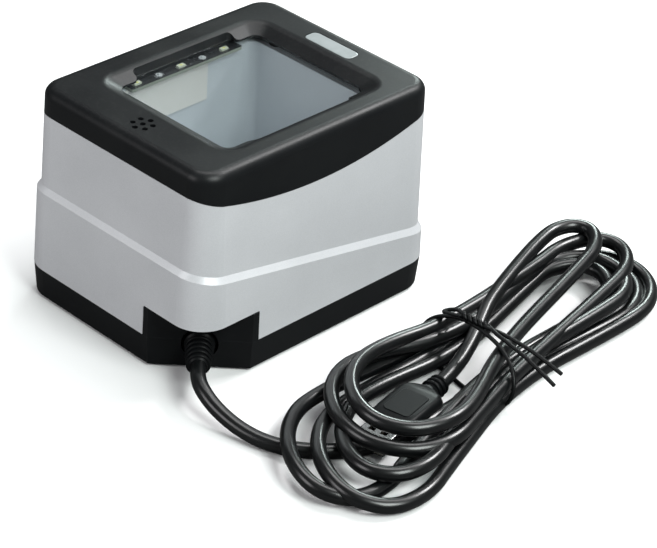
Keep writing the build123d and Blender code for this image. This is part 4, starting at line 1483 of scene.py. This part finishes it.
@dataclass(frozen=True)
class Studio:
    """Camera, pale floor and soft light.

    The world has one strength for diffuse light and one for what is mirrored. The floor has three
    tones: as it is seen, as it throws light back, and as it is mirrored.
    """

    azimuth: float = math.radians(43.10)
    elevation: float = math.radians(32.14)
    roll: float = math.radians(3.89)
    distance: float = 0.8693
    target: Point = (0.043881, -0.005984, 0.0308)
    lens: float = 143.47
    shift: tuple[float, float] = (0.0298, -0.0116)
    world: float = 0.3
    world_mirrored: float = 0.08
    world_colour: Colour = (0.97, 0.985, 1.0)
    floor: tuple[float, float, float] = (0.93, 0.45, 0.1)
    floor_half: float = 6.0
    lamps: tuple[Lamp, ...] = (
        Lamp("overhead", (-0.20, 0.30, 1.10), (0.05, 0.0, 0.02), (0.75, 0.45), 5.0),
        Lamp("strip", (0.26, 0.86, 1.0), (0.08, 0.0, 0.0), (0.5, 0.2), 10.0),
        Lamp("back", (-0.54, 1.03, 0.57), (0.0, 0.02, 0.06), (0.26, 0.26), 4.6, (0.88, 1.0, 0.97)),
        Lamp("side", (0.90, -0.06, 0.92), (0.0, 0.0, 0.05), (0.6, 0.6), 13.0, (0.94, 1.0, 0.975)),
        Lamp("front", (-0.35, -1.1, 0.55), (0.0, 0.0, 0.04), (0.6, 0.6), 4.0, (1.0, 0.98, 1.0)),
    )

    def build(self) -> None:
        """Makes the whole set."""
        self._camera()
        for lamp in self.lamps:
            lamp.build()
        self._world()
        self._floor()
        bpy.context.scene.view_settings.view_transform = "Standard"

    def _camera(self) -> None:
        """Camera at its height and angle, rolled a little."""
        back = Vector((
            math.sin(self.azimuth) * math.cos(self.elevation),
            -math.cos(self.azimuth) * math.cos(self.elevation),
            math.sin(self.elevation),
        ))
        level = Vector((0.0, 0.0, 1.0)).cross(back).normalized()
        upright = back.cross(level)
        right = level * math.cos(self.roll) + upright * math.sin(self.roll)
        upwards = upright * math.cos(self.roll) - level * math.sin(self.roll)
        data = bpy.data.cameras.new("camera")
        data.lens = self.lens
        data.shift_x, data.shift_y = self.shift
        camera = bpy.data.objects.new("camera", data)
        bpy.context.scene.collection.objects.link(camera)
        turned = Matrix((right, upwards, back)).transposed().to_4x4()
        camera.matrix_world = Matrix.Translation(Vector(self.target) + back * self.distance) @ turned
        bpy.context.scene.camera = camera

    def _world(self) -> None:
        """Even pale surroundings, dimmer where they are mirrored, and plain white to the camera."""
        world = bpy.data.worlds.new("studio")
        world.use_nodes = True
        graph = Graph(world.node_tree)
        background = world.node_tree.nodes["Background"]
        background.inputs["Color"].default_value = (*self.world_colour, 1.0)
        path = graph.add("ShaderNodeLightPath").outputs
        lit = graph.span(path["Is Glossy Ray"], 0.0, 1.0, self.world, self.world_mirrored)
        strength = graph.math("MAXIMUM", lit, path["Is Camera Ray"])
        world.node_tree.links.new(strength, background.inputs["Strength"])
        bpy.context.scene.world = world

    def _floor(self) -> None:
        """Plain floor with its three tones."""
        shape = bmesh.new()
        bmesh.ops.create_grid(shape, x_segments=1, y_segments=1, size=self.floor_half)
        mesh = mesh_from("floor", shape)
        material, graph = new_material("floor")
        shown, thrown, mirrored = (
            graph.add("ShaderNodeBsdfDiffuse", {"Color": (tone, tone, tone, 1.0)}).outputs[0]
            for tone in self.floor
        )
        path = graph.add("ShaderNodeLightPath").outputs
        unseen = graph.add("ShaderNodeMixShader", {0: path["Is Glossy Ray"], 1: thrown, 2: mirrored})
        mixed = graph.add("ShaderNodeMixShader", {0: path["Is Camera Ray"], 1: unseen.outputs[0], 2: shown})
        graph.add("ShaderNodeOutputMaterial", {"Surface": mixed.outputs[0]})
        mesh.materials.append(material)
        link("floor", mesh)


# ------------------------------------------------------------------ the whole object
def dress_packed_nodes(palette: Palette) -> None:
    """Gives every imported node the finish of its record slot."""
    for subpart in frame["record"]["subparts"]:
        dress(subpart["node"], palette[subpart["material_slot"]])


def main() -> None:
    """Builds the camera and the cable first, then the parts on it, the screws and the light parts."""
    logging.basicConfig(level=logging.INFO, format="%(message)s")
    Studio().build()
    palette, repeats = Palette(), Repeats()
    dress_packed_nodes(palette)
    cable = Cable()
    cord = cable.build(palette)
    exit_point, plug_point = cable.lead[0], cable.drop[-1]
    relief = Relief().build(palette, repeats, exit_point)
    grip, shell = Plug().build(palette, repeats, plug_point)
    tie = Tie().build(palette)
    LightParts().build(palette, repeats)
    for screws in SCREW_SETS:
        screws.build(palette, repeats)


if __name__ == "__main__":
    main()
